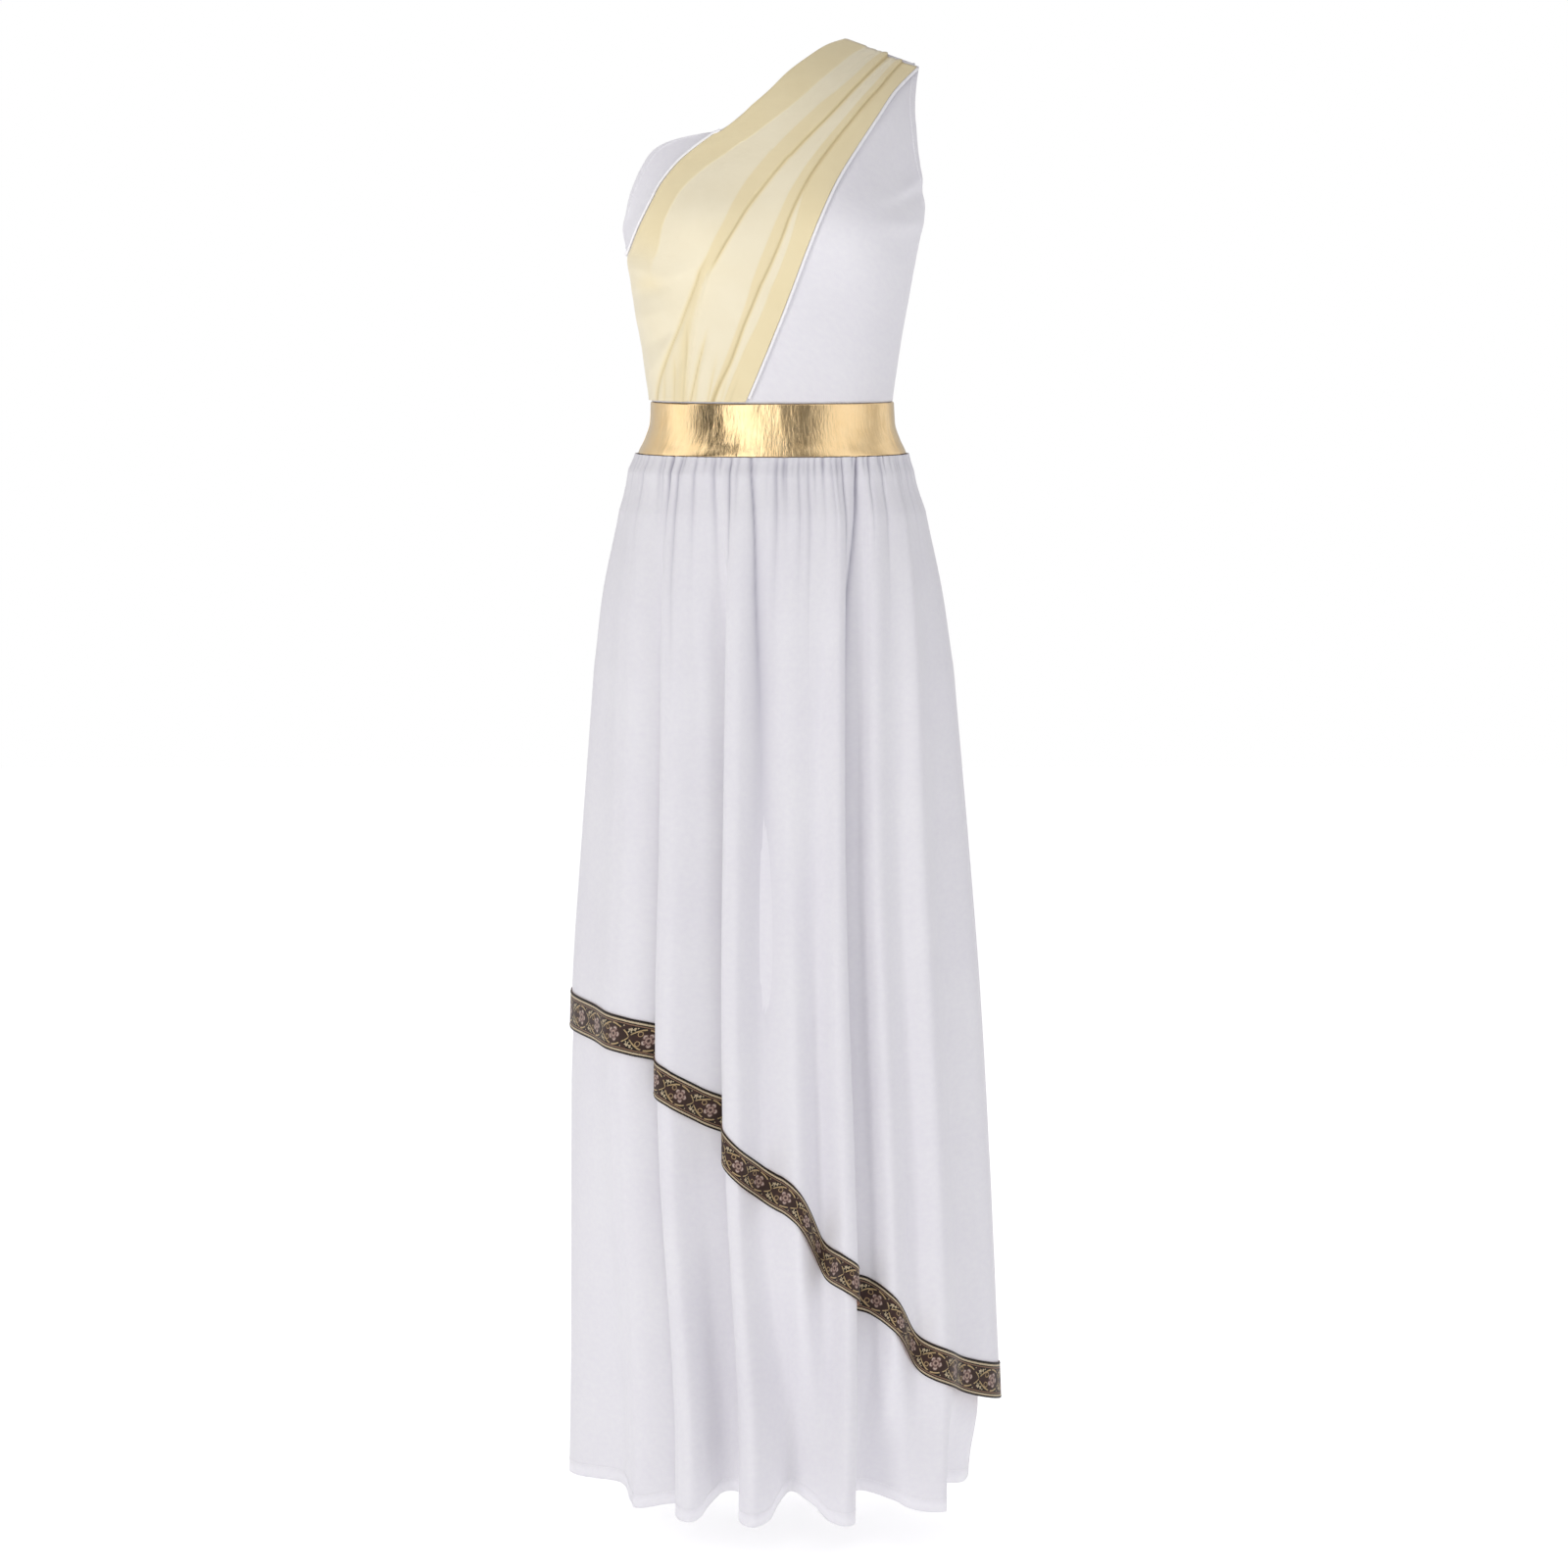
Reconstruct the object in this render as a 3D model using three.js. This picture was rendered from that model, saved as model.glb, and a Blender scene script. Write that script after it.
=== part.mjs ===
// One-shoulder goddess costume, full length, in its worn form with no wearer inside.
// Millimetres, +Z up. The front faces -Y and the wearer's left is +X. All heights are measured
// down from the neck end of the left shoulder seam, and the origin is under that shoulder strap.
import * as THREE from 'three';

// Driving dimensions
const SEAM_GAP = 0.3;          // between two cut pieces at a seam
const JERSEY = 1.2;            // wall of bodice, drape and skirts
const BAND_CLOTH = 1.8;        // wall of the faced foil waistband
const RIBBON = 1.0;            // wall of the jacquard ribbon
const WAIST_Z = -338;          // bodice to waistband seam
const BAND_HEIGHT = 49;
const FLOOR_HEM_Z = -1369;     // underskirt hem
const HEM_DIP = 0.37;          // how much lower the hem is for each millimetre that a fold stands out
const RIBBON_HEIGHT = 35;      // upright height of the ribbon on the slanted hem
const RIBBON_HANG = 20;        // how far the ribbon hangs below the cloth edge
const ON_CLOTH = 0.6;          // ribbon to the overskirt that it is sewn on
const LAYER_GAP = 1.2;         // overskirt to underskirt inside its folds
const GATHER_ROOM = 2.05;      // and under the waist gathers
const DRAPE_LIFT = 1.4;        // drape to the bodice under it
const PIPING_RADIUS = 1.1;
const PIPING_LIFT = 1.7;       // middle of a piping to the bodice under it
const PIPING_ROOM = 3.3;       // strip of bodice that a piping leaves bare beside the drape
const SHOULDER_SLOPE = 0.37;
const SHOULDER_ROUND = 30;     // rounds the shoulder line towards the neck
const TOP_FALL = 48;           // height in which the bodice comes to its full depth below the shoulder
const NECK_X = 69;             // neck end of the shoulder seam
const SHOULDER_X = 138;        // arm end of the shoulder seam
const AT_SEAM = 200;           // an edge this far out lies on the side seam
const SECTION_POWER = 2.25;    // 2 is an ellipse, more is squarer
const GATHER_DEPTH = 1.6;      // half height of a waist gather
const COLUMNS_PER_FOLD = 3;    // wall columns between a fold's crest and its valley
const GATHER_END = 14;         // the seam's gathers are full down to here
const GATHER_FADE = 45;        // and gone here
const BELOW_SHOULDER = 5;
const SIDE_ROOM = 19;          // how far inside the overskirt the underskirt hangs at the left side
const BAND_FOOT_Z = WAIST_Z - BAND_HEIGHT;

// Torso sections, outside of the bodice
const TORSO = [
  { z: -338, half: 114, front: 88, back: 76 },
  { z: -307, half: 118, front: 92, back: 79 },
  { z: -274, half: 123, front: 97, back: 84 },
  { z: -241, half: 129, front: 102, back: 90 },
  { z: -208, half: 135, front: 107, back: 95 },
  { z: -164, half: 143, front: 110, back: 98 },
  { z: -130, half: 146, front: 106, back: 98 },
  { z: -90, half: 149, front: 98, back: 95 },
  { z: -40, half: 152, front: 90, back: 86 },
  { z: 0, half: 153, front: 84, back: 80 },
];
const CUP = { x: 76, z: -172, depth: 13, width: 42, height: 46 };

// Outside of the waistband, narrow at the waist and flared at its foot
const BAND = [
  { z: -338, half: 115, front: 89.5, back: 77.5 },
  { z: -360, half: 116, front: 91, back: 79 },
  { z: -374, half: 121, front: 96, back: 85 },
  { z: -387, half: 127, front: 103, back: 92 },
];

// Outside of the overskirt before its folds; folds and spread go from 0 at the waist to 1
const SKIRT = [
  { z: -387, half: 126.5, centre: 0, front: 102.5, back: 91.5, folds: 0.04, spread: 0 },
  { z: -403, half: 134, centre: -1, front: 109, back: 99, folds: 0.12, spread: 0.06 },
  { z: -440, half: 145, centre: 0, front: 117, back: 109, folds: 0.25, spread: 0.2 },
  { z: -515, half: 160, centre: 0, front: 124, back: 119, folds: 0.45, spread: 0.5 },
  { z: -589, half: 170, centre: 1, front: 128, back: 125, folds: 0.58, spread: 0.72 },
  { z: -740, half: 182, centre: 2, front: 133, back: 131, folds: 0.78, spread: 0.92 },
  { z: -891, half: 193, centre: 3, front: 138, back: 136, folds: 0.94, spread: 1 },
  { z: -1043, half: 199, centre: 6, front: 143, back: 141, folds: 1, spread: 1 },
  { z: -1158, half: 203, centre: 8, front: 147, back: 144, folds: 1, spread: 1 },
  { z: -1330, half: 208, centre: 10, front: 151, back: 148, folds: 1, spread: 1 },
];

// Outside of the underskirt where it shows below the overskirt
const UNDERSKIRT = [
  { z: -900, half: 187, centre: 1, front: 132, back: 130 },
  { z: -1158, half: 190, centre: 0, front: 141, back: 138 },
  { z: -1265, half: 191, centre: -1, front: 147, back: 143 },
  { z: -1400, half: 192, centre: -3, front: 153, back: 148 },
];

// Folds in order round the skirt from the right side seam, by the front, to the same seam again.
// angle 0 is the front and 90 the left side. out is how far the fold stands out of the section
// at the hem. Where the angle turns back, the cloth tucks under the fold's edge. A late fold is
// one that shows only near the hem.
const FOLDS = [
  { name: 'right side seam', angle: -90, out: 2, lowAngle: -90, lowOut: 2, hem: -934 },
  { name: 'side valley', angle: -64, out: -4, lowAngle: -54, lowOut: -20, hem: -938 },
  { name: 'side edge', angle: -50, out: 5, lowAngle: -40.5, lowOut: 1, hem: -942 },
  { name: 'side crest', angle: -42, out: 5, lowAngle: -36, lowOut: 6, hem: -945 },
  { name: 'tuck 1 under', angle: -28, out: -15, lowAngle: -22, lowOut: -4, hem: -957 },
  { name: 'tuck 1 edge', angle: -32.5, out: 2, lowAngle: -23.6, lowOut: 9, hem: -979 },
  { name: 'tuck 1 crest', angle: -27, out: 12, lowAngle: -18, lowOut: 21, hem: -990 },
  { name: 'valley 1', angle: -19, out: -7, lowAngle: -12.5, lowOut: -22, hem: -1008 },
  { name: 'tuck 2 under', angle: -7, out: -13, lowAngle: -6, lowOut: -20, hem: -1026 },
  { name: 'tuck 2 edge', angle: -12.5, out: 3, lowAngle: -6.5, lowOut: 12, hem: -1040 },
  { name: 'tuck 2 crest', angle: -8.5, out: 12, lowAngle: -2.5, lowOut: 30, hem: -1060 },
  { name: 'valley 2', angle: -2.8, out: -9, lowAngle: 3, lowOut: -16, hem: -1082 },
  { name: 'crest 3', angle: 3.5, out: 9, lowAngle: 6.5, lowOut: -24, hem: -1100, late: 4 },
  { name: 'valley 3', angle: 9.6, out: -12, lowAngle: 12, lowOut: 6, hem: -1150, late: 4 },
  { name: 'long fold crest', angle: 14, out: 13, lowAngle: 16.5, lowOut: 33, hem: -1161 },
  { name: 'long fold edge', angle: 18.2, out: 5, lowAngle: 20.6, lowOut: 20, hem: -1175 },
  { name: 'long fold under', angle: 15.5, out: -12, lowAngle: 19.5, lowOut: -8, hem: -1182 },
  { name: 'valley 4', angle: 23, out: -15, lowAngle: 24, lowOut: -22, hem: -1190 },
  { name: 'crest 4', angle: 28, out: 6, lowAngle: 30, lowOut: -17, hem: -1204, late: 3 },
  { name: 'valley 5', angle: 37, out: -8, lowAngle: 40, lowOut: 10, hem: -1244, late: 3 },
  { name: 'crest 5', angle: 44.5, out: 9, lowAngle: 49, lowOut: 27, hem: -1259 },
  { name: 'valley 6', angle: 57, out: -8, lowAngle: 54, lowOut: -16, hem: -1274 },
  { name: 'crest 6', angle: 71, out: 6, lowAngle: 72, lowOut: 0, hem: -1286 },
  { name: 'left side seam', angle: 90, out: 0, lowAngle: 90, lowOut: -1, hem: -1296 },
  { name: 'back valley 1', angle: 103, out: -6, lowAngle: 103, lowOut: -15, hem: -1307 },
  { name: 'back crest 1', angle: 117, out: 8, lowAngle: 117, lowOut: 22, hem: -1312 },
  { name: 'back valley 2', angle: 129, out: -10, lowAngle: 129, lowOut: -20, hem: -1290 },
  { name: 'back crest 2', angle: 141, out: 12, lowAngle: 141, lowOut: 26, hem: -1258 },
  { name: 'back tuck 1 edge', angle: 149, out: 3, lowAngle: 148.5, lowOut: 14, hem: -1230 },
  { name: 'back tuck 1 under', angle: 145, out: -12, lowAngle: 147, lowOut: -12, hem: -1214 },
  { name: 'back valley 3', angle: 157, out: -10, lowAngle: 158, lowOut: -22, hem: -1190 },
  { name: 'back crest 3', angle: 171, out: 11, lowAngle: 171, lowOut: 24, hem: -1150 },
  { name: 'back valley 4', angle: 184, out: -12, lowAngle: 184, lowOut: -24, hem: -1112 },
  { name: 'back crest 4', angle: 196, out: 12, lowAngle: 196, lowOut: 26, hem: -1080 },
  { name: 'back valley 5', angle: 208, out: -9, lowAngle: 208, lowOut: -22, hem: -1050 },
  { name: 'back tuck 2 under', angle: 219, out: -12, lowAngle: 217, lowOut: -12, hem: -1024 },
  { name: 'back tuck 2 edge', angle: 214.5, out: 3, lowAngle: 215, lowOut: 13, hem: -1008 },
  { name: 'back crest 5', angle: 221, out: 12, lowAngle: 222, lowOut: 24, hem: -994 },
  { name: 'back valley 6', angle: 234, out: -11, lowAngle: 234, lowOut: -22, hem: -968 },
  { name: 'back crest 6', angle: 248, out: 9, lowAngle: 247, lowOut: 18, hem: -948 },
  { name: 'back valley 7', angle: 259, out: -5, lowAngle: 259, lowOut: -10, hem: -938 },
];
const LEFT_SEAM = 23;                  // row of FOLDS at the left side seam
const WHOLE_ROUND = FOLDS.length;      // the row after the last is the right side seam again

// Edges of the front bodice from the waist up: right edge by side and neckline, left by armhole
const FRONT_EDGES = [
  { rightX: -AT_SEAM, rightZ: -338, leftX: AT_SEAM, leftZ: -338 },
  { rightX: -AT_SEAM, rightZ: -312, leftX: AT_SEAM, leftZ: -312 },
  { rightX: -AT_SEAM, rightZ: -285, leftX: AT_SEAM, leftZ: -285 },
  { rightX: -AT_SEAM, rightZ: -259, leftX: AT_SEAM, leftZ: -259 },
  { rightX: -AT_SEAM, rightZ: -234, leftX: AT_SEAM, leftZ: -234 },
  { rightX: -AT_SEAM, rightZ: -210, leftX: AT_SEAM, leftZ: -210 },
  { rightX: -AT_SEAM, rightZ: -187, leftX: AT_SEAM, leftZ: -187 },
  { rightX: -137, rightZ: -164, leftX: AT_SEAM, leftZ: -166 },
  { rightX: -131, rightZ: -141, leftX: 142, leftZ: -145 },
  { rightX: -123, rightZ: -123, leftX: 139.5, leftZ: -126 },
  { rightX: -112, rightZ: -106, leftX: 137, leftZ: -108 },
  { rightX: -98, rightZ: -97, leftX: 135.5, leftZ: -94 },
  { rightX: -76, rightZ: -91, leftX: 134.5, leftZ: -82 },
  { rightX: -48, rightZ: -86, leftX: 133.5, leftZ: -71 },
  { rightX: -25, rightZ: -69, leftX: 133.5, leftZ: -61 },
  { rightX: -4, rightZ: -51, leftX: 134, leftZ: -52 },
  { rightX: 14, rightZ: -33, leftX: 135, leftZ: -43 },
  { rightX: 32, rightZ: -19, leftX: 136, leftZ: -36 },
  { rightX: 50, rightZ: -7, leftX: 137, leftZ: -30 },
];

// Edges of the back bodice from the waist up, a little inside the front's outline
const BACK_EDGES = [
  { rightX: -AT_SEAM, rightZ: -338, leftX: AT_SEAM, leftZ: -338 },
  { rightX: -AT_SEAM, rightZ: -312, leftX: AT_SEAM, leftZ: -312 },
  { rightX: -AT_SEAM, rightZ: -285, leftX: AT_SEAM, leftZ: -285 },
  { rightX: -AT_SEAM, rightZ: -259, leftX: AT_SEAM, leftZ: -259 },
  { rightX: -AT_SEAM, rightZ: -234, leftX: AT_SEAM, leftZ: -234 },
  { rightX: -AT_SEAM, rightZ: -210, leftX: AT_SEAM, leftZ: -210 },
  { rightX: -AT_SEAM, rightZ: -187, leftX: AT_SEAM, leftZ: -187 },
  { rightX: -135, rightZ: -166, leftX: AT_SEAM, leftZ: -166 },
  { rightX: -126, rightZ: -146, leftX: 140, leftZ: -145 },
  { rightX: -108, rightZ: -130, leftX: 136, leftZ: -122 },
  { rightX: -82, rightZ: -118, leftX: 133, leftZ: -102 },
  { rightX: -54, rightZ: -105, leftX: 131.5, leftZ: -84 },
  { rightX: -24, rightZ: -85, leftX: 131.5, leftZ: -67 },
  { rightX: 4, rightZ: -60, leftX: 132.5, leftZ: -52 },
  { rightX: 32, rightZ: -32, leftX: 134.5, leftZ: -40 },
  { rightX: 52, rightZ: -12, leftX: 136, leftZ: -32 },
];

// Edges of the diagonal drape from the shoulder down to the waistband
const DRAPE_NECK_EDGE = [
  [69, 0], [50, -7], [32, -19], [14, -33], [-4, -51], [-25, -69], [-48, -87], [-56, -91],
  [-83, -112], [-101, -133], [-111, -151], [-122, -172], [-131, -193], [-135, -205],
  [-131, -234], [-126.5, -259], [-122, -285], [-117.8, -312], [-114.5, -336],
];
const DRAPE_FRONT_EDGE = [
  [138, -26], [115, -49], [98, -74], [79, -103], [62, -131], [47, -163], [31, -202],
  [12, -252], [-7, -299], [-22.5, -336],
];
const NECK_PIPING = { from: 0.34, to: 0.68 };    // its part of the drape's neck edge
const FRONT_PIPING = { from: 0.01, to: 0.99 };

// Soft folds of the drape: across goes from the neck edge (0) to the front edge (1)
const DRAPE_FOLDS = [
  { name: 'neck roll', top: 0.26, middle: 0.13, bottom: 0.05, height: 2.2, width: 0.12 },
  { name: 'bust fold', top: 0.58, middle: 0.53, bottom: 0.37, height: 3.2, width: 0.1 },
  { name: 'waist fold', top: 0.5, middle: 0.45, bottom: 0.1, height: 1.6, width: 0.06 },
  { name: 'long fold', top: 0.78, middle: 0.79, bottom: 0.65, height: 2.8, width: 0.07 },
];

// Interpolation helpers
const mix = (a, b, t) => a + (b - a) * t;
const clamp = (t) => Math.min(1, Math.max(0, t));
const ease = (t) => clamp(t) ** 2 * (3 - 2 * clamp(t));
const radians = THREE.MathUtils.degToRad;

function curveValue(p0, p1, p2, p3, t) {
  const bend = (2 * p0 - 5 * p1 + 4 * p2 - p3) * t * t + (3 * p1 - p0 - 3 * p2 + p3) * t ** 3;
  return 0.5 * (2 * p1 + (p2 - p0) * t + bend);
}

// A value of a table of sections at height z, on a smooth curve through its rows
function sectionValue(table, key, z) {
  const last = table.length - 1;
  const sign = Math.sign(table[last].z - table[0].z);
  let i = 0;
  while (i < last - 1 && (z - table[i + 1].z) * sign > 0) i += 1;
  const t = clamp((z - table[i].z) / (table[i + 1].z - table[i].z));
  const row = (k) => table[Math.min(last, Math.max(0, k))][key];
  return curveValue(row(i - 1), row(i), row(i + 1), row(i + 2), t);
}

// A value of FOLDS at place s round the skirt, on a smooth closed curve through its rows
function foldValue(key, s) {
  const i = Math.floor(s);
  const row = (k) => {
    const turn = Math.floor(k / WHOLE_ROUND);
    const value = FOLDS[k - turn * WHOLE_ROUND][key] ?? 1;
    return /angle/i.test(key) ? value + 360 * turn : value;
  };
  return curveValue(row(i - 1), row(i), row(i + 1), row(i + 2), s - i);
}

// A point of a rounded section, moved out by the fold along the section's own normal
function sectionPoint(section, degrees, out, z) {
  const a = radians(degrees);
  const power = 2 / SECTION_POWER;
  const sin = Math.sign(Math.sin(a)) * Math.abs(Math.sin(a)) ** power;
  const cos = Math.sign(Math.cos(a)) * Math.abs(Math.cos(a)) ** power;
  const depth = Math.cos(a) > 0 ? section.front : section.back;
  const nx = Math.sin(a) / section.half;
  const ny = -Math.cos(a) / depth;
  const length = Math.hypot(nx, ny);
  const x = section.centre + section.half * sin + (out * nx) / length;
  const y = -depth * cos + (out * ny) / length;
  return new THREE.Vector3(x, y, z);
}

function sectionAt(table, z) {
  const value = (key) => sectionValue(table, key, z);
  const centre = 'centre' in table[0] ? value('centre') : 0;
  return { half: value('half'), front: value('front'), back: value('back'), centre };
}

// Outward normal of a surface given as a function of a place along it and a height. It halves the
// angle between the two steps beside the place, so that a wall follows a tight turn
function normalOf(surface, s, z, step = 1 / COLUMNS_PER_FOLD) {
  const here = surface(s, z);
  const before = here.clone().sub(surface(s - step, z)).normalize();
  const after = surface(s + step, z).sub(here).normalize();
  const up = surface(s, z + 1).sub(surface(s, z - 1)).normalize();
  return before.cross(up).add(after.cross(up)).normalize();
}

// Bodice surface. The place along it is the section angle in degrees
const shoulderZ = (x) => (
  -SHOULDER_SLOPE * (Math.hypot(x, SHOULDER_ROUND) - Math.hypot(NECK_X, SHOULDER_ROUND)));

function torsoPoint(degrees, z) {
  const section = sectionAt(TORSO, z);
  const flat = sectionPoint(section, degrees, 0, z);
  const drop = Math.max(0, shoulderZ(flat.x) - z);
  const fullness = 1 - Math.exp(-drop / TOP_FALL);
  const acrossCup = ((Math.abs(flat.x) - CUP.x) / CUP.width) ** 2;
  const upCup = ((z - CUP.z) / CUP.height) ** 2;
  const cup = flat.y < 0 ? CUP.depth * Math.exp(-acrossCup - upCup) : 0;
  const rim = Math.abs(Math.cos(radians(degrees)));
  flat.y = flat.y * fullness - cup * rim;
  return flat;
}

function torsoAngle(x, z) {
  const ratio = clamp(Math.abs(x) / sectionValue(TORSO, 'half', z)) ** (SECTION_POWER / 2);
  return Math.sign(x) * THREE.MathUtils.radToDeg(Math.asin(ratio));
}

// Outward normal of the bodice, taken a little below the shoulder line where it is well defined
function torsoNormal(degrees, z, x) {
  return normalOf(torsoPoint, degrees, Math.min(z, shoulderZ(x) - BELOW_SHOULDER), 1);
}

// Closed cloth wall from rows of outer and inner points; a row may have twice the next one's
// columns. Rows run the same way round and the rows go down.
function clothWall(outer, inner) {
  const points = [];
  const place = (rows) => rows.map((row) => row.map((p) => points.push(p) - 1));
  const out = place(outer);
  const back = place(inner);
  const faces = [];
  const strip = (upper, lower, flip) => {
    const add = (a, b, c) => faces.push(...(flip ? [a, c, b] : [a, b, c]));
    if (upper.length === lower.length) {
      for (let i = 0; i + 1 < upper.length; i += 1) {
        add(upper[i], lower[i], lower[i + 1]);
        add(upper[i], lower[i + 1], upper[i + 1]);
      }
      return;
    }
    for (let i = 0; i + 1 < lower.length; i += 1) {
      add(upper[2 * i], lower[i], upper[2 * i + 1]);
      add(lower[i], lower[i + 1], upper[2 * i + 1]);
      add(upper[2 * i + 1], lower[i + 1], upper[2 * i + 2]);
    }
  };
  for (let r = 0; r + 1 < out.length; r += 1) {
    strip(out[r], out[r + 1], false);
    strip(back[r], back[r + 1], true);
  }
  const last = out.length - 1;
  strip(back[0], out[0], false);
  strip(out[last], back[last], false);
  strip(out.map((row) => row[0]), back.map((row) => row[0]), false);
  strip(out.map((row) => row.at(-1)), back.map((row) => row.at(-1)), true);
  const geometry = new THREE.BufferGeometry().setFromPoints(points);
  geometry.setIndex(faces);
  geometry.computeVertexNormals();
  return geometry;
}

// Pulls the two end columns of a wall in by half the seam gap
function openSeams(outer, inner) {
  const pull = (row, end, next, otherEnd) => {
    const step = row[next].clone().sub(row[end]).setLength(SEAM_GAP / 2);
    row[end].add(step);
    otherEnd.add(step);
  };
  outer.forEach((row, r) => {
    pull(row, 0, 1, inner[r][0]);
    pull(row, row.length - 1, row.length - 2, inner[r].at(-1));
  });
}

const fabric = (color, roughness, metalness = 0) => (
  new THREE.MeshStandardMaterial({ color, roughness, metalness }));
const whiteJersey = () => fabric(0xe1e0e6, 0.8);
const underJersey = () => fabric(0xdcdbe1, 0.8);
const creamChiffon = () => fabric(0xe9d9b8, 0.75);
const goldFoil = () => fabric(0xcfb386, 0.3, 0.9);
const brownJacquard = () => fabric(0x564333, 0.7);

const costume = new THREE.Group();
function piece(name, geometry, material) {
  const mesh = new THREE.Mesh(geometry, material);
  mesh.name = name;
  costume.add(mesh);
}

// Bodice panels
function bodicePanel(edges, columns, atBack) {
  const shoulder = {
    rightX: NECK_X, rightZ: shoulderZ(NECK_X), leftX: SHOULDER_X, leftZ: shoulderZ(SHOULDER_X),
  };
  const rows = [...edges, shoulder].reverse();
  const side = atBack ? 1 : -1;
  const strapMiddle = shoulderZ((NECK_X + SHOULDER_X) / 2);
  const outer = [];
  const inner = [];
  rows.forEach(({ rightX, rightZ, leftX, leftZ }, r) => {
    const from = torsoAngle(rightX, rightZ);
    const to = torsoAngle(leftX, leftZ);
    const outRow = [];
    const inRow = [];
    for (let c = 0; c <= columns; c += 1) {
      const t = atBack ? 1 - c / columns : c / columns;
      const degrees = atBack ? 180 - mix(from, to, t) : mix(from, to, t);
      const atShoulder = r === 0;
      const z = atShoulder ? shoulderZ(torsoPoint(degrees, strapMiddle).x) : mix(rightZ, leftZ, t);
      const p = torsoPoint(degrees, r === rows.length - 1 ? z + SEAM_GAP / 2 : z);
      const normal = torsoNormal(degrees, z, p.x);
      if (atShoulder) p.y += (side * SEAM_GAP) / 2;
      outRow.push(p);
      inRow.push(p.clone().addScaledVector(normal, -JERSEY));
    }
    outer.push(outRow);
    inner.push(inRow);
  });
  inner[0].forEach((p) => { p.y = side * Math.max(SEAM_GAP / 2, Math.abs(p.y)); });
  inner.at(-1).forEach((p, c) => { p.z = outer.at(-1)[c].z; });
  openSeams(outer, inner);
  return clothWall(outer, inner);
}

// Drape: a light panel on the front bodice, from the shoulder seam to the waistband
function alongPath(path, t) {
  const points = path.map(([x, z]) => new THREE.Vector3(x, 0, z));
  return new THREE.CatmullRomCurve3(points, false, 'centripetal').getPointAt(clamp(t));
}

function drapeRelief(across, down) {
  return DRAPE_FOLDS.reduce((sum, fold) => {
    const { top, middle, bottom } = fold;
    const line = down < 0.5 ? mix(top, middle, down * 2) : mix(middle, bottom, down * 2 - 1);
    const away = (across - line) / fold.width;
    const slope = away < 0 ? away * 0.6 : away * 1.5;
    return sum + fold.height * Math.exp(-slope * slope);
  }, 0);
}

// A share t of the way round the torso, as a share of the straight way across the drape
function straightAcross(down, t) {
  const neck = alongPath(DRAPE_NECK_EDGE, down);
  const front = alongPath(DRAPE_FRONT_EDGE, down);
  const degrees = mix(torsoAngle(neck.x, neck.z), torsoAngle(front.x, front.z), t);
  const { x } = torsoPoint(degrees, mix(neck.z, front.z, t));
  return clamp((x - neck.x) / (front.x - neck.x));
}

function drapePoint(across, down, lift) {
  const neck = alongPath(DRAPE_NECK_EDGE, down);
  const front = alongPath(DRAPE_FRONT_EDGE, down);
  const z = mix(neck.z, front.z, across);
  const degrees = torsoAngle(mix(neck.x, front.x, across), z);
  const p = torsoPoint(degrees, z);
  return p.addScaledVector(torsoNormal(degrees, z, p.x), lift);
}

// Where the drape starts and ends across, beside its pipings and flush where it has none
function drapeSpan(down) {
  const width = alongPath(DRAPE_NECK_EDGE, down).distanceTo(alongPath(DRAPE_FRONT_EDGE, down));
  const piped = ease((down - NECK_PIPING.from + 0.09) / 0.04) * ease((NECK_PIPING.to + 0.09 - down) / 0.04);
  return { from: mix(SEAM_GAP, PIPING_ROOM, piped) / width, to: 1 - PIPING_ROOM / width };
}

function drapePanel(rows, columns) {
  const outer = [];
  const inner = [];
  for (let r = 0; r <= rows; r += 1) {
    const outRow = [];
    const inRow = [];
    const down = mix(0.004, 1, r / rows);
    const span = drapeSpan(down);
    for (let c = 0; c <= columns; c += 1) {
      const across = mix(span.from, span.to, straightAcross(down, c / columns));
      const relief = drapeRelief(across, down) * Math.sin(Math.PI * clamp(c / columns)) ** 0.3;
      outRow.push(drapePoint(across, down, DRAPE_LIFT + JERSEY + relief));
      inRow.push(drapePoint(across, down, DRAPE_LIFT + relief));
    }
    outer.push(outRow);
    inner.push(inRow);
  }
  return clothWall(outer, inner);
}

function piping(path, span, segments) {
  const points = [];
  for (let i = 0; i <= segments; i += 1) {
    const { x, z } = alongPath(path, mix(span.from, span.to, i / segments));
    const degrees = torsoAngle(x, z);
    points.push(torsoPoint(degrees, z).addScaledVector(torsoNormal(degrees, z, x), PIPING_LIFT));
  }
  const curve = new THREE.CatmullRomCurve3(points);
  const section = new THREE.Shape().absarc(0, 0, PIPING_RADIUS, 0, 2 * Math.PI);
  return new THREE.ExtrudeGeometry(section, { steps: segments, curveSegments: 3, extrudePath: curve });
}

// Waistband panels
function bandPanel(from, to, columns) {
  const heights = [SEAM_GAP / 2, 20, 32, 41, BAND_HEIGHT - SEAM_GAP / 2];
  const rowsAt = (out) => heights.map((down) => {
    const z = WAIST_Z - down;
    const section = sectionAt(BAND, z);
    const point = (c) => sectionPoint(section, mix(from, to, c / columns), out, z);
    return Array.from({ length: columns + 1 }, (_, c) => point(c));
  });
  const outer = rowsAt(0);
  const inner = rowsAt(-BAND_CLOTH);
  openSeams(outer, inner);
  return clothWall(outer, inner);
}

// Skirts. Place s goes round in rows of FOLDS
const FINE = 2 * COLUMNS_PER_FOLD;

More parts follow.
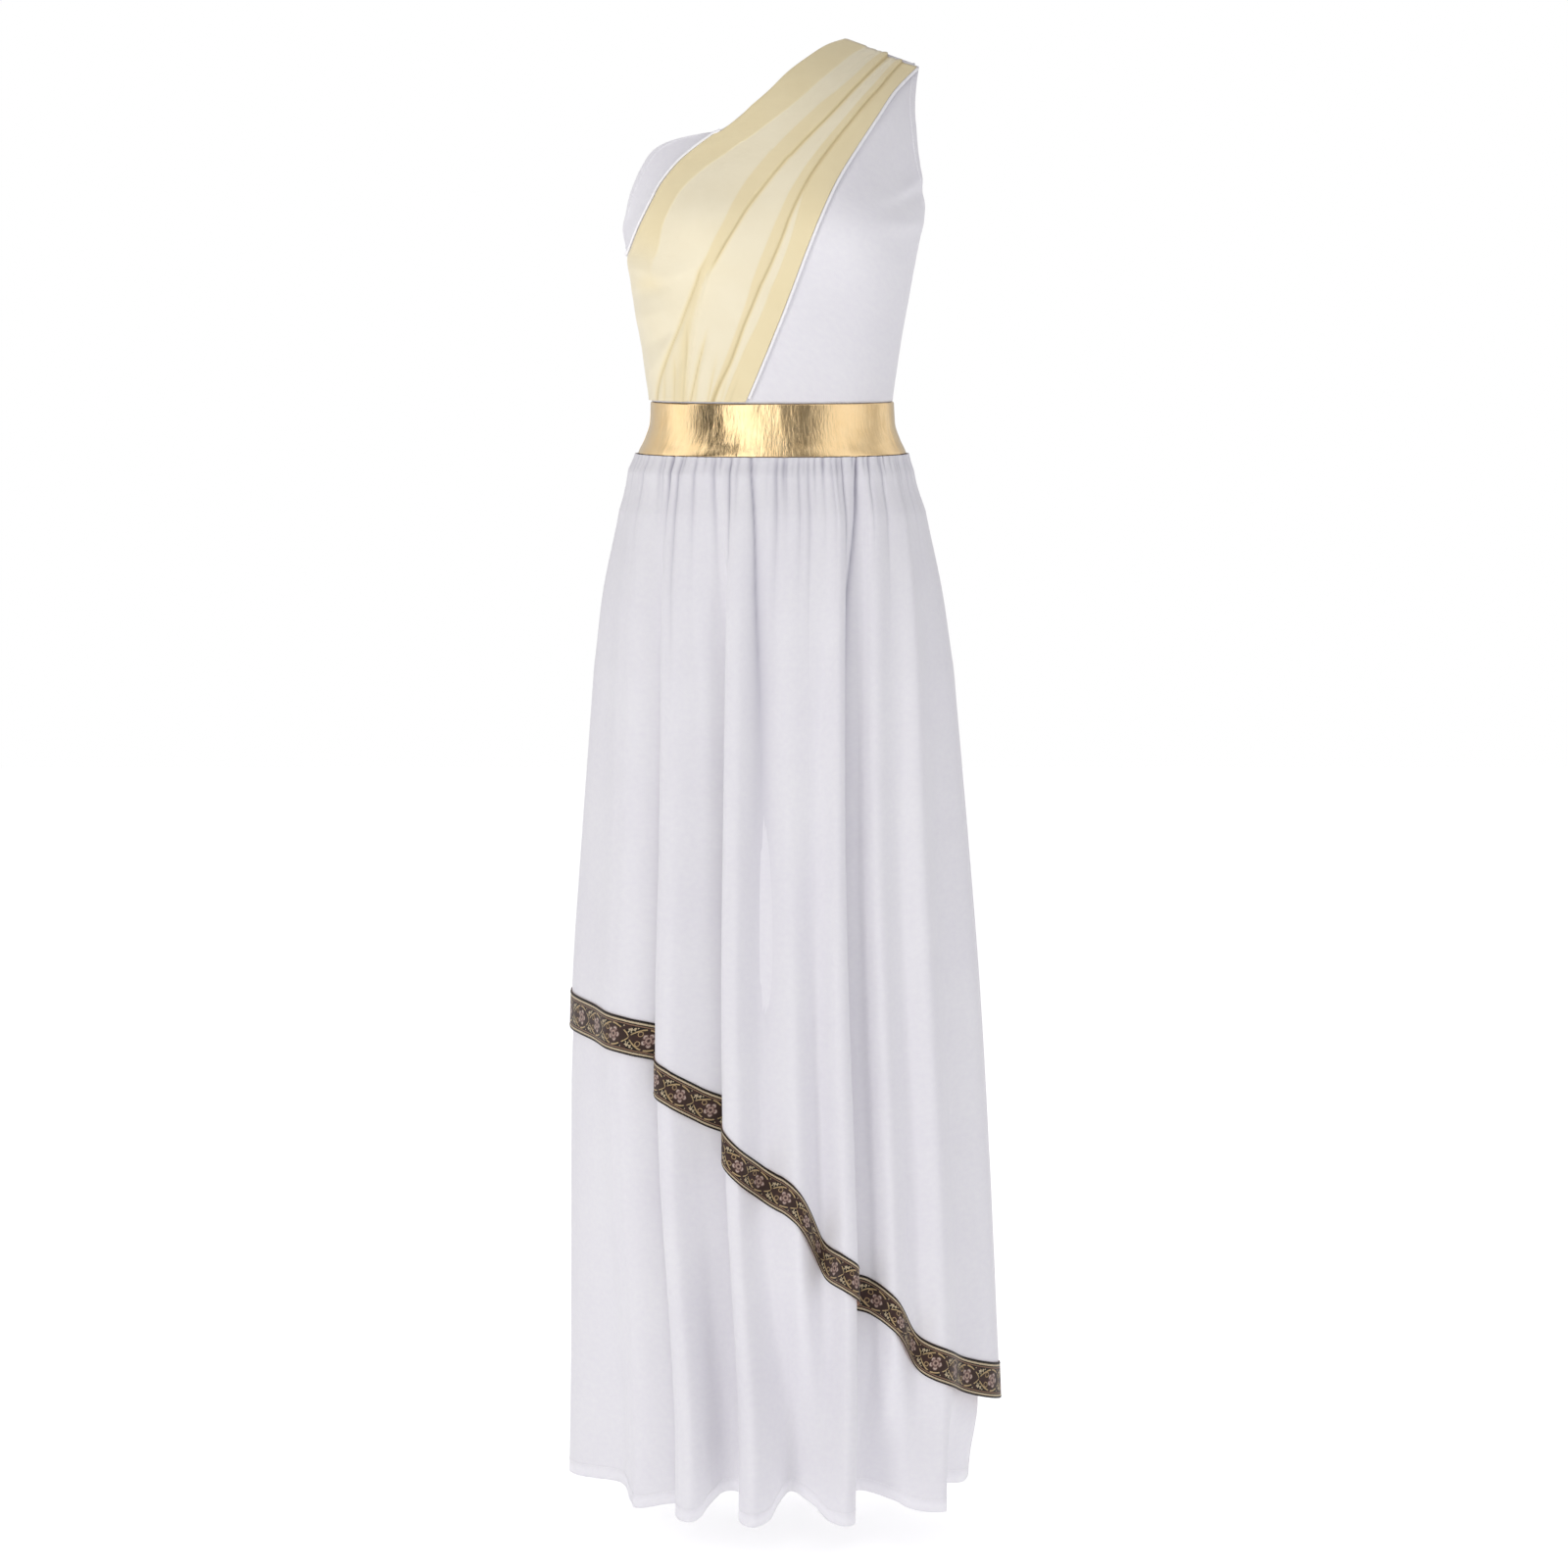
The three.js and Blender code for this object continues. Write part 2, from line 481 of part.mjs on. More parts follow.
// The cloth is gathered evenly into the waist seam, so a fold starts where its cloth lies
const waistAngles = (() => {
  const section = sectionAt(SKIRT, -1100);
  const hemPoint = (s) => sectionPoint(section, foldValue('angle', s), foldValue('out', s), 0);
  const lengths = [0];
  for (let i = 1; i <= WHOLE_ROUND * FINE; i += 1) {
    lengths.push(lengths[i - 1] + hemPoint(i / FINE).distanceTo(hemPoint((i - 1) / FINE)));
  }
  const front = lengths[LEFT_SEAM * FINE];
  const whole = lengths.at(-1);
  const frontAngle = (l) => -90 + (180 * l) / front;
  const backAngle = (l) => 90 + (180 * (l - front)) / (whole - front);
  return lengths.map((l) => (l < front ? frontAngle(l) : backAngle(l)));
})();

function waistAngle(s) {
  const turn = Math.floor(s / WHOLE_ROUND);
  const place = (s - turn * WHOLE_ROUND) * FINE;
  const i = Math.min(waistAngles.length - 2, Math.floor(place));
  return mix(waistAngles[i], waistAngles[i + 1], place - i) + 360 * turn;
}

function overskirtPoint(s, z, inset = 0) {
  const degrees = mix(waistAngle(s), foldValue('angle', s), sectionValue(SKIRT, 'spread', z));
  const depth = sectionValue(SKIRT, 'folds', z) ** foldValue('late', s);
  const out = foldValue('out', s) * depth - inset;
  return sectionPoint(sectionAt(SKIRT, z), degrees, out, z);
}

// Round the left side the underskirt hangs further inside, more so towards the floor
const sideRoom = (s, z) => {
  const angle = foldValue('angle', s);
  return SIDE_ROOM * ease((angle - 45) / 35) * ease((150 - angle) / 40) * ease((-z - 850) / 400);
};

// The underskirt hangs inside the overskirt's folds, then takes its own below the ribbon
function underskirtPoint(s, z) {
  const nested = (place, height) => overskirtPoint(place, height, sideRoom(place, height));
  const spring = ease((BAND_FOOT_Z - 90 - z) / 100);
  const gap = JERSEY + mix(GATHER_ROOM, LAYER_GAP, spring);
  const p = nested(s, z).addScaledVector(normalOf(nested, s, z), -gap);
  const hem = foldValue('hem', s);
  const free = ease((hem - z) / (hem - FLOOR_HEM_Z));
  if (free === 0) return p;
  const low = sectionPoint(sectionAt(UNDERSKIRT, z), foldValue('lowAngle', s), foldValue('lowOut', s), z);
  return p.lerp(low, free);
}

const gatherWave = [-1, 0.7, 0.9];

// Rows of a skirt panel: heights is a function of s that lists the heights of its rows
function skirtPanel(surface, from, to, heights, fineRows, wallThickness, lift = 0) {
  const count = heights(from).length;
  const outer = [];
  const inner = [];
  for (let r = 0; r < count; r += 1) {
    const fine = r < fineRows;
    const perFold = fine ? FINE : COLUMNS_PER_FOLD;
    const outRow = [];
    const inRow = [];
    for (let c = 0; c <= (to - from) * perFold; c += 1) {
      const s = from + c / perFold;
      const z = heights(s)[r];
      const normal = normalOf(surface, s, z);
      const wave = fine ? GATHER_DEPTH * gatherWave[c % 3] * mix(0.75, 1, clamp(r)) : 0;
      const p = surface(s, z).addScaledVector(normal, wave + lift + (lift ? wallThickness : 0));
      outRow.push(p);
      inRow.push(p.clone().addScaledVector(normal, -wallThickness));
    }
    outer.push(outRow);
    inner.push(inRow);
  }
  outer[0].forEach((p, c) => { inner[0][c].z = p.z; });
  openSeams(outer, inner);
  return clothWall(outer, inner);
}

function overskirtHeights(s) {
  const top = BAND_FOOT_Z - SEAM_GAP / 2;
  const ribbonTop = foldValue('hem', s) + RIBBON_HEIGHT + 4;
  const body = [0.1, 0.24, 0.4, 0.58, 0.78].map((t) => mix(top - GATHER_FADE, ribbonTop, t));
  return [top, top - GATHER_END, top - GATHER_FADE, ...body, ribbonTop, foldValue('hem', s) + RIBBON_HANG];
}

function underskirtHeights(s) {
  const top = BAND_FOOT_Z - SEAM_GAP / 2;
  const ribbonFoot = foldValue('hem', s) - 3;
  const floorHem = FLOOR_HEM_Z - foldValue('lowOut', s) * HEM_DIP;
  const upper = [0.1, 0.24, 0.42, 0.68].map((t) => mix(top - GATHER_FADE, ribbonFoot, t));
  const lower = [0, 0.35, 0.68, 1].map((t) => mix(ribbonFoot, floorHem, t));
  return [top, top - GATHER_FADE, ...upper, ...lower];
}

const ribbonHeights = (s) => [RIBBON_HEIGHT, 17, 0].map((up) => foldValue('hem', s) + up);

piece('bodice_front', bodicePanel(FRONT_EDGES, 20, false), whiteJersey());
piece('bodice_back', bodicePanel(BACK_EDGES, 16, true), whiteJersey());
piece('drape', drapePanel(22, 18), creamChiffon());
piece('drape_piping_neck', piping(DRAPE_NECK_EDGE, NECK_PIPING, 14), whiteJersey());
piece('drape_piping_front', piping(DRAPE_FRONT_EDGE, FRONT_PIPING, 26), whiteJersey());

const HALVES = [
  { half: 'front', from: 0, to: LEFT_SEAM, fromDegrees: -90 },
  { half: 'back', from: LEFT_SEAM, to: WHOLE_ROUND, fromDegrees: 90 },
];
HALVES.forEach(({ half, from, to, fromDegrees }) => {
  piece(`waistband_${half}`, bandPanel(fromDegrees, fromDegrees + 180, 24), goldFoil());
  const over = skirtPanel(overskirtPoint, from, to, overskirtHeights, 3, JERSEY);
  const under = skirtPanel(underskirtPoint, from, to, underskirtHeights, 0, JERSEY);
  const ribbon = skirtPanel(overskirtPoint, from, to, ribbonHeights, 0, RIBBON, ON_CLOTH);
  piece(`overskirt_${half}`, over, whiteJersey());
  piece(`underskirt_${half}`, under, underJersey());
  piece(`trim_${half}`, ribbon, brownJacquard());
});

// The origin is the middle of the shoulder strap, on its underside
costume.position.set(-103.5, 0, -shoulderZ(103.5) + JERSEY);

export default costume;
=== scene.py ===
# %% [markdown]
# # One-shoulder goddess costume
# The real dress is sewn from knitted jersey: a one-shoulder bodice, a foil waistband, an overskirt
# with a slanted hem and an underskirt that reaches the floor. A light cream panel lies over the
# bodice from the left shoulder to the right side of the waist. The rigid model gives each piece its
# size and place. This script draws the same surfaces again with far more points, so that
# narrow gathers, soft pulls and stitches can be seen.

# %% Load the frame
import bpy
import math
import numpy as np
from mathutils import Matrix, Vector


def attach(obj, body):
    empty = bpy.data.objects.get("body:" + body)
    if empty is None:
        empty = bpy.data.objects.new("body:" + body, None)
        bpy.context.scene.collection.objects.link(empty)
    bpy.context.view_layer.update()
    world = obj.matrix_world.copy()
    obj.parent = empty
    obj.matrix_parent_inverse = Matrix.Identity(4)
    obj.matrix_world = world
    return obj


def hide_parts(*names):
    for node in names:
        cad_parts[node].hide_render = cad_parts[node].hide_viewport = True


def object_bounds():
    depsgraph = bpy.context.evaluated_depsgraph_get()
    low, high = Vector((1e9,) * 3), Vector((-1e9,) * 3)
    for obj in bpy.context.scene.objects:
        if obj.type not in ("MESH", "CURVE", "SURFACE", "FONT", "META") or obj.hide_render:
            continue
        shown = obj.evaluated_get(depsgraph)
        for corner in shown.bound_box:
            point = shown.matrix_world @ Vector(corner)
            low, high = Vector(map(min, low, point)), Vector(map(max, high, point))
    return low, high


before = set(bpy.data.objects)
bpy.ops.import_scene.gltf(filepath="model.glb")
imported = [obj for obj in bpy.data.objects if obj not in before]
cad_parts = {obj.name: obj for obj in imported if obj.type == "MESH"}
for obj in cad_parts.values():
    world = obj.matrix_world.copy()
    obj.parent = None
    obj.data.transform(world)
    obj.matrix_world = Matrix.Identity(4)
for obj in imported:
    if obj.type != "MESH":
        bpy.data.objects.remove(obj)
CAD_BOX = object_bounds()

# %% [markdown]
# ## Camera
# The photo is taken from about 4.5 m away at chest height, looking a little down, so the hem curves
# down in the middle. A long lens keeps the sides of the skirt nearly upright. The camera comes first,
# so that every piece can be judged in the frame of the photo.

# %% Camera
def new_object(name, data):
    made = bpy.data.objects.new(name, data)
    bpy.context.collection.objects.link(made)
    return made


CAMERA_PLACE = (-0.0923, -4.5, -0.1988)
CAMERA_TARGET = (-0.0923, 0.0, -0.6888)
LENS_MM = 108.9                     # on a 36 mm sensor

lens = bpy.data.cameras.new("camera")
lens.sensor_width = 36
lens.lens = LENS_MM
camera = new_object("camera", lens)
camera.location = CAMERA_PLACE
pitch = math.atan2(CAMERA_PLACE[2] - CAMERA_TARGET[2], CAMERA_TARGET[1] - CAMERA_PLACE[1])
camera.rotation_euler = (math.radians(90) - pitch, 0, 0)
bpy.context.scene.camera = camera
print("camera pitch", round(math.degrees(pitch), 2), "degrees")

# %% [markdown]
# ## Sizes of the dress
# A dressmaker thinks in rounds: the waist, the bust, the hip and the hem. Each table below is a
# list of such rounds in millimetres, with z measured down from the neck end of the shoulder seam.
# A smooth curve through the rows gives every height between them.

# %% Sizes in millimetres
MM = 0.001
BODY_AXIS_X = -103.5                # the frame's origin is under the strap, not in the middle
STRAP_RISE = 13.23                  # from the strap's underside to the neck end of the seam
WAIST_Z = -338
BAND_HEIGHT = 49
BAND_FOOT_Z = WAIST_Z - BAND_HEIGHT
FLOOR_HEM_Z = -1369
RIBBON_HEIGHT = 35
RIBBON_HANG = 20
SEAM_GAP = 0.3
CLOTH = 0.9                         # jersey as drawn, inside the wall of the rigid model
SHOULDER_SLOPE = 0.37
NECK_X = 69
SHOULDER_X = 138
SECTION_POWER = 2.25                # 2 is an ellipse, more is squarer


def table(columns, rows):
    """Named columns of a short table."""
    return {name: np.array([row[i] for row in rows], float) for i, name in enumerate(columns.split())}


TORSO = table("z half front back", [
    (0, 153, 84, 80), (-40, 152, 90, 86), (-90, 149, 98, 95), (-130, 146, 106, 98), (-164, 143, 110, 98),
    (-208, 135, 107, 95), (-241, 129, 102, 90), (-274, 123, 97, 84), (-307, 118, 92, 79),
    (-338, 114, 88, 76)])
CUP = {"x": 76, "z": -172, "depth": 13, "width": 42, "height": 46}
BAND = table("z half front back", [
    (-338, 115, 89.5, 77.5), (-360, 116, 91, 79), (-374, 121, 96, 85), (-387, 127, 103, 92)])
SKIRT = table("z half centre front back folds spread", [
    (-387, 126.5, 0, 102.5, 91.5, .04, 0), (-403, 134, -1, 109, 99, .12, .06),
    (-440, 145, 0, 117, 109, .25, .2), (-515, 160, 0, 124, 119, .45, .5), (-589, 170, 1, 128, 125, .58, .72),
    (-740, 182, 2, 133, 131, .78, .92), (-891, 193, 3, 138, 136, .94, 1), (-1043, 199, 6, 143, 141, 1, 1),
    (-1158, 203, 8, 147, 144, 1, 1), (-1330, 208, 10, 151, 148, 1, 1)])
UNDERSKIRT = table("z half centre front back", [
    (-900, 187, 1, 132, 130), (-1158, 190, 0, 141, 138), (-1265, 191, -1, 147, 143),
    (-1400, 192, -3, 153, 148)])
print("torso, band and skirts:", [len(t["z"]) for t in (TORSO, BAND, SKIRT, UNDERSKIRT)], "rounds")

# %% [markdown]
# ## Folds of the skirt
# Each row is one crest, edge or valley of a hanging fold, in order from the right side seam by the
# front to the same seam again. The angle is 0 at the front and 90 at the left side. Where the angle
# turns back, the cloth tucks under its own edge. The low columns are the underskirt's at the floor,
# and a late fold, above 1, is one that shows only near the hem.

# %% Folds
FOLDS = table("angle out low_angle low_out hem late", [
    (-90, 2, -90, 2, -934, 1), (-64, -4, -54, -20, -938, 1), (-50, 5, -40.5, 1, -942, 1),
    (-42, 5, -36, 6, -945, 1), (-28, -15, -22, -4, -957, 1), (-32.5, 2, -23.6, 9, -979, 1),
    (-27, 12, -18, 21, -990, 1), (-19, -7, -12.5, -22, -1008, 1), (-7, -13, -6, -20, -1026, 1),
    (-12.5, 3, -6.5, 12, -1040, 1), (-8.5, 12, -2.5, 30, -1060, 1), (-2.8, -9, 3, -16, -1082, 1),
    (3.5, 9, 6.5, -24, -1100, 4), (9.6, -12, 12, 6, -1150, 4), (14, 13, 16.5, 33, -1161, 1),
    (18.2, 5, 20.6, 20, -1175, 1), (15.5, -12, 19.5, -8, -1182, 1), (23, -15, 24, -22, -1190, 1),
    (28, 6, 30, -17, -1204, 3), (37, -8, 40, 10, -1244, 3), (44.5, 9, 49, 27, -1259, 1),
    (57, -8, 54, -16, -1274, 1), (71, 6, 72, 0, -1286, 1), (90, 0, 90, -1, -1296, 1),
    (103, -6, 103, -15, -1307, 1), (117, 8, 117, 22, -1312, 1), (129, -10, 129, -20, -1290, 1),
    (141, 12, 141, 26, -1258, 1), (149, 3, 148.5, 14, -1230, 1), (145, -12, 147, -12, -1214, 1),
    (157, -10, 158, -22, -1190, 1), (171, 11, 171, 24, -1150, 1), (184, -12, 184, -24, -1112, 1),
    (196, 12, 196, 26, -1080, 1), (208, -9, 208, -22, -1050, 1), (219, -12, 217, -12, -1024, 1),
    (214.5, 3, 215, 13, -1008, 1), (221, 12, 222, 24, -994, 1), (234, -11, 234, -22, -968, 1),
    (248, 9, 247, 18, -948, 1), (259, -5, 259, -10, -938, 1)])
LEFT_SEAM = 23                      # row of FOLDS at the left side seam
WHOLE_ROUND = len(FOLDS["hem"])
TUCK_EDGES = (5, 9, 15)             # rows of FOLDS where the cloth turns under in front
print("folds:", WHOLE_ROUND, "rows, tucks in front at rows", TUCK_EDGES)

# %% [markdown]
# ## Smooth surfaces from the tables
# A rounded section is pushed in and out along its own outward direction by the folds. Everything
# works on whole grids of points at once, which keeps the script quick.

# %% Curves and sections
def ease(t):
    t = np.clip(t, 0, 1)
    return t * t * (3 - 2 * t)


def mix(a, b, t):
    return a + (b - a) * t


def through(p0, p1, p2, p3, t):
    """A smooth curve from p1 to p2 that looks ahead to p3 and back to p0."""
    bend = (2 * p0 - 5 * p1 + 4 * p2 - p3) * t * t + (3 * p1 - p0 - 3 * p2 + p3) * t ** 3
    return 0.5 * (2 * p1 + (p2 - p0) * t + bend)


def along(values, place):
    """Value at a place counted in rows, on a smooth curve through the rows."""
    last = len(values) - 1
    i = np.clip(np.floor(place).astype(int), 0, last - 1)
    row = lambda k: values[np.clip(k, 0, last)]
    return through(row(i - 1), row(i), row(i + 1), row(i + 2), place - i)


def section_at(rounds, z):
    place = np.interp(-z, -rounds["z"], np.arange(len(rounds["z"])))
    return {name: along(values, place) for name, values in rounds.items() if name != "z"}


def section_point(section, degrees, out, z):
    """Point of a rounded section, moved out along the section's own outward direction."""
    sin, cos = np.sin(np.radians(degrees)), np.cos(np.radians(degrees))
    power = 2 / SECTION_POWER
    depth = np.where(cos > 0, section["front"], section["back"])
    nx, ny = sin / section["half"], -cos / depth
    length = np.hypot(nx, ny)
    x = section.get("centre", 0) + section["half"] * np.sign(sin) * np.abs(sin) ** power + out * nx / length
    y = -depth * np.sign(cos) * np.abs(cos) ** power + out * ny / length
    return np.stack(np.broadcast_arrays(x, y, z), -1)


def unit(v):
    return v / np.maximum(np.linalg.norm(v, axis=-1, keepdims=True), 1e-9)


def run_length(points, axis=0):
    """Length over a line or a grid of points, counted along one axis from its start."""
    steps = np.linalg.norm(np.diff(points, axis=axis), axis=-1)
    start = np.zeros_like(np.take(steps, [0], axis))
    return np.concatenate([start, np.cumsum(steps, axis=axis)], axis)


def outward(surface, s, z, step):
    """Outward direction of a surface given as a function of a place along it and a height."""
    here = surface(s, z)
    before = unit(here - surface(s - step, z))
    after = unit(surface(s + step, z) - here)
    up = unit(surface(s, z + 1) - surface(s, z - 1))
    return unit(np.cross(before, up) + np.cross(after, up))


print("waist round:", [round(float(v)) for v in section_at(TORSO, np.array(-338.0)).values()])

# %% Skirt surfaces
def fold(key, s):
    """A value of FOLDS at a place counted in rows, on a closed smooth curve."""
    values = FOLDS[key]
    i = np.floor(s).astype(int)
    turn = 360 if "angle" in key else 0
    row = lambda k: values[k % WHOLE_ROUND] + turn * (k // WHOLE_ROUND)
    return through(row(i - 1), row(i), row(i + 1), row(i + 2), s - i)


# The cloth is gathered evenly into the waist, so a fold starts where its cloth lies
FINE_STEPS = 6
ROUND_PLACES = np.arange(WHOLE_ROUND * FINE_STEPS + 1) / FINE_STEPS
hem_line = section_point(section_at(SKIRT, np.array(-1100.0)), fold("angle", ROUND_PLACES),
                         fold("out", ROUND_PLACES), 0)
cloth_length = run_length(hem_line)
seam_lengths = [0, cloth_length[LEFT_SEAM * FINE_STEPS], cloth_length[-1]]
WAIST_ANGLES = np.interp(cloth_length, seam_lengths, [-90, 90, 270])


def waist_angle(s):
    turn = np.floor(s / WHOLE_ROUND)
    return np.interp(s - turn * WHOLE_ROUND, ROUND_PLACES, WAIST_ANGLES) + 360 * turn


def overskirt_point(s, z, inset=0):
    section = section_at(SKIRT, z)
    degrees = mix(waist_angle(s), fold("angle", s), section["spread"])
    out = fold("out", s) * section["folds"] ** fold("late", s)
    return section_point(section, degrees, out - inset, z)


UNDER_OVERSKIRT = 2.4               # underskirt inside the overskirt, outer face to outer face
MORE_AT_WAIST = 4.5                 # and further in where the gathers are deep
SIDE_ROOM = 19                      # and further in low down at the left side


def side_room(s, z):
    side = ease((fold("angle", s) - 45) / 35) * ease((150 - fold("angle", s)) / 40)
    return SIDE_ROOM * side * ease((-z - 850) / 400)


def underskirt_point(s, z):
    nested = lambda place, height: overskirt_point(place, height, side_room(place, height))
    spring = ease((BAND_FOOT_Z - 150 - z) / 350)
    gap = mix(UNDER_OVERSKIRT + MORE_AT_WAIST, UNDER_OVERSKIRT, spring)
    p = nested(s, z) - outward(nested, s, z, 1 / 3) * gap[..., None]
    hem = fold("hem", s)
    free = ease((hem - z) / (hem - FLOOR_HEM_Z))[..., None]
    low = section_point(section_at(UNDERSKIRT, z), fold("low_angle", s), fold("low_out", s), z)
    return mix(p, low, free)


print("cloth round the hem:", round(cloth_length[-1]), "mm")

# %% [markdown]
# ## Torso surface
# The bodice, the drape and its edges all lie on one rounded torso with a soft cup in front, so they
# share one function. Near the shoulder the depth goes to nothing, where front and back meet in a seam.

# %% Torso
TOP_FALL = 48                       # height in which the bodice comes to its full depth
SHOULDER_ROUND = 30


def shoulder_z(x):
    return -SHOULDER_SLOPE * (np.hypot(x, SHOULDER_ROUND) - np.hypot(NECK_X, SHOULDER_ROUND))


def torso_point(degrees, z):
    p = section_point(section_at(TORSO, z), degrees, 0, z)
    x, y = p[..., 0], p[..., 1]
    drop = np.maximum(0, shoulder_z(x) - z)
    bump = np.exp(-((np.abs(x) - CUP["x"]) / CUP["width"]) ** 2 - ((z - CUP["z"]) / CUP["height"]) ** 2)
    cup = np.where(y < 0, CUP["depth"] * bump, 0) * np.abs(np.cos(np.radians(degrees)))
    p[..., 1] = y * (1 - np.exp(-drop / TOP_FALL)) - cup
    return p


def torso_angle(x, z):
    ratio = np.clip(np.abs(x) / section_at(TORSO, z)["half"], 0, 1) ** (SECTION_POWER / 2)
    return np.sign(x) * np.degrees(np.arcsin(ratio))


print("bust:", round(float(torso_point(np.array(0.0), np.array(-172.0))[1])), "mm in front of the axis")

# %% [markdown]
# ## Cloth as a thin shell
# A sewn piece has an outer face, an inner face and a cut edge. A grid of outer points is moved in by
# the cloth's thickness to give the inner face, and the rim between them closes the shell. The UV map
# is in millimetres, so a knit or a weave can be drawn at its real size on any fold.

# %% Shell builder
def grid_normals(points):
    across = np.gradient(points, axis=1)
    down = np.gradient(points, axis=0)
    return unit(np.cross(down, across))


def grid_faces(rows, columns, first=0, flip=False):
    a = first + np.arange((rows - 1) * columns).reshape(rows - 1, columns)[:, :-1].ravel()
    quads = np.stack([a, a + columns, a + columns + 1, a + 1], 1)
    return quads[:, ::-1] if flip else quads


def grid_uv(points):
    """Lengths over the cloth in millimetres: across in the middle row and down in each column."""
    across = run_length(points[len(points) // 2])
    down = run_length(points)
    return np.stack([np.broadcast_to(across, down.shape), -down], -1)


def to_frame(points_mm):
    return (points_mm + [BODY_AXIS_X, 0, STRAP_RISE]) * MM


def new_cloth(name, points_mm, faces, uv):
    """A smooth piece with a UV map named cloth, from points and one UV place for each."""
    mesh = bpy.data.meshes.new(name)
    mesh.from_pydata(to_frame(points_mm).tolist(), [], faces)
    mesh.polygons.foreach_set("use_smooth", np.ones(len(mesh.polygons), bool))
    corner = np.empty(len(mesh.loops), np.int32)
    mesh.loops.foreach_get("vertex_index", corner)
    mesh.uv_layers.new(name="cloth").data.foreach_set("uv", uv[corner].ravel().astype(np.float32))
    return new_object(name, mesh)


def shell(name, points, thickness=CLOTH, uv=None, values=None):
    """A closed thin shell, with values as attributes of its points."""
    rows, columns = points.shape[:2]
    count = rows * columns
    inner = points - grid_normals(points) * np.broadcast_to(thickness, (rows, columns))[..., None]
    index = np.arange(count).reshape(rows, columns)
    loop = np.concatenate([index[0, :-1], index[:-1, -1], index[-1, :0:-1], index[:0:-1, 0]])
    after = np.roll(loop, -1)
    rim = np.stack([loop, after, after + count, loop + count], 1)
    faces = np.concatenate([grid_faces(rows, columns), grid_faces(rows, columns, count, True), rim])
    uv = grid_uv(points) if uv is None else uv
    piece = new_cloth(name, np.concatenate([points.reshape(-1, 3), inner.reshape(-1, 3)]), faces.tolist(),
                      np.tile(uv.reshape(-1, 2), (2, 1)))
    painted = {key: np.tile(value.ravel(), 2) for key, value in (values or {}).items()}
    painted["inside"] = np.repeat([0, 1], count)
    for key, value in painted.items():
        attribute = piece.data.attributes.new(key, "FLOAT", "POINT")
        attribute.data.foreach_set("value", value.astype(np.float32))
    print(name, len(faces) * 2, "triangles,", columns, "x", rows, "points")
    return piece


def dress(piece, material, node):
    """Gives a piece its finish and its body, and hides the node of the rigid model that it stands for."""
    piece.data.materials.append(material)
    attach(piece, "root")
    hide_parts(node)
    return piece


# %% [markdown]
# ## Finishes
# Every finish starts from what the real cloth is. Colours are sRGB hex values turned to linear by one
# function, and one small function adds a node with its settings and its links. Patterns read the
# cloth's own UV map in millimetres, so a knit stays square to the cloth.

# %% Node helpers
def colour(hex_value):
    """Linear colour of an sRGB hex value."""
    parts = [(hex_value >> shift & 255) / 255 for shift in (16, 8, 0)]
    return [c / 12.92 if c <= 0.04045 else ((c + 0.055) / 1.055) ** 2.4 for c in parts] + [1]


def add(tree, kind, inputs=None, **settings):
    """Adds one node. Settings are its properties, and inputs are values or other nodes' outputs."""
    node = tree.nodes.new(kind)
    for key, value in settings.items():
        setattr(node, key, value)
    for socket, value in (inputs or {}).items():
        if isinstance(value, bpy.types.NodeSocket):
            tree.links.new(value, node.inputs[socket])
        else:
            node.inputs[socket].default_value = value
    return node


def new_material(name):
    material = bpy.data.materials.new(name)
    material.use_nodes = True
    material.node_tree.nodes.clear()
    return material, material.node_tree


def finish_with(tree, shader):
    add(tree, "ShaderNodeOutputMaterial", {"Surface": shader.outputs["BSDF"]})


print("white card is", [round(c, 3) for c in colour(0xFFFFFF)])

# %% [markdown]
# ## Polyester jersey
# The bodice and both skirts are a light polyester weft knit: fine loops in columns called wales, matt
# with a faint bloom at grazing angles, and never pure white, because its fibres tint a little to
# lavender in the shade. Real wales are about 0.7 mm apart. They are drawn at 1.6 mm, so that they
# still show in a picture of the whole dress.

# %% Jersey
WALE_MM = 1.6
ONE_BAND = 0.314                    # scale at which a wave texture repeats once in a millimetre


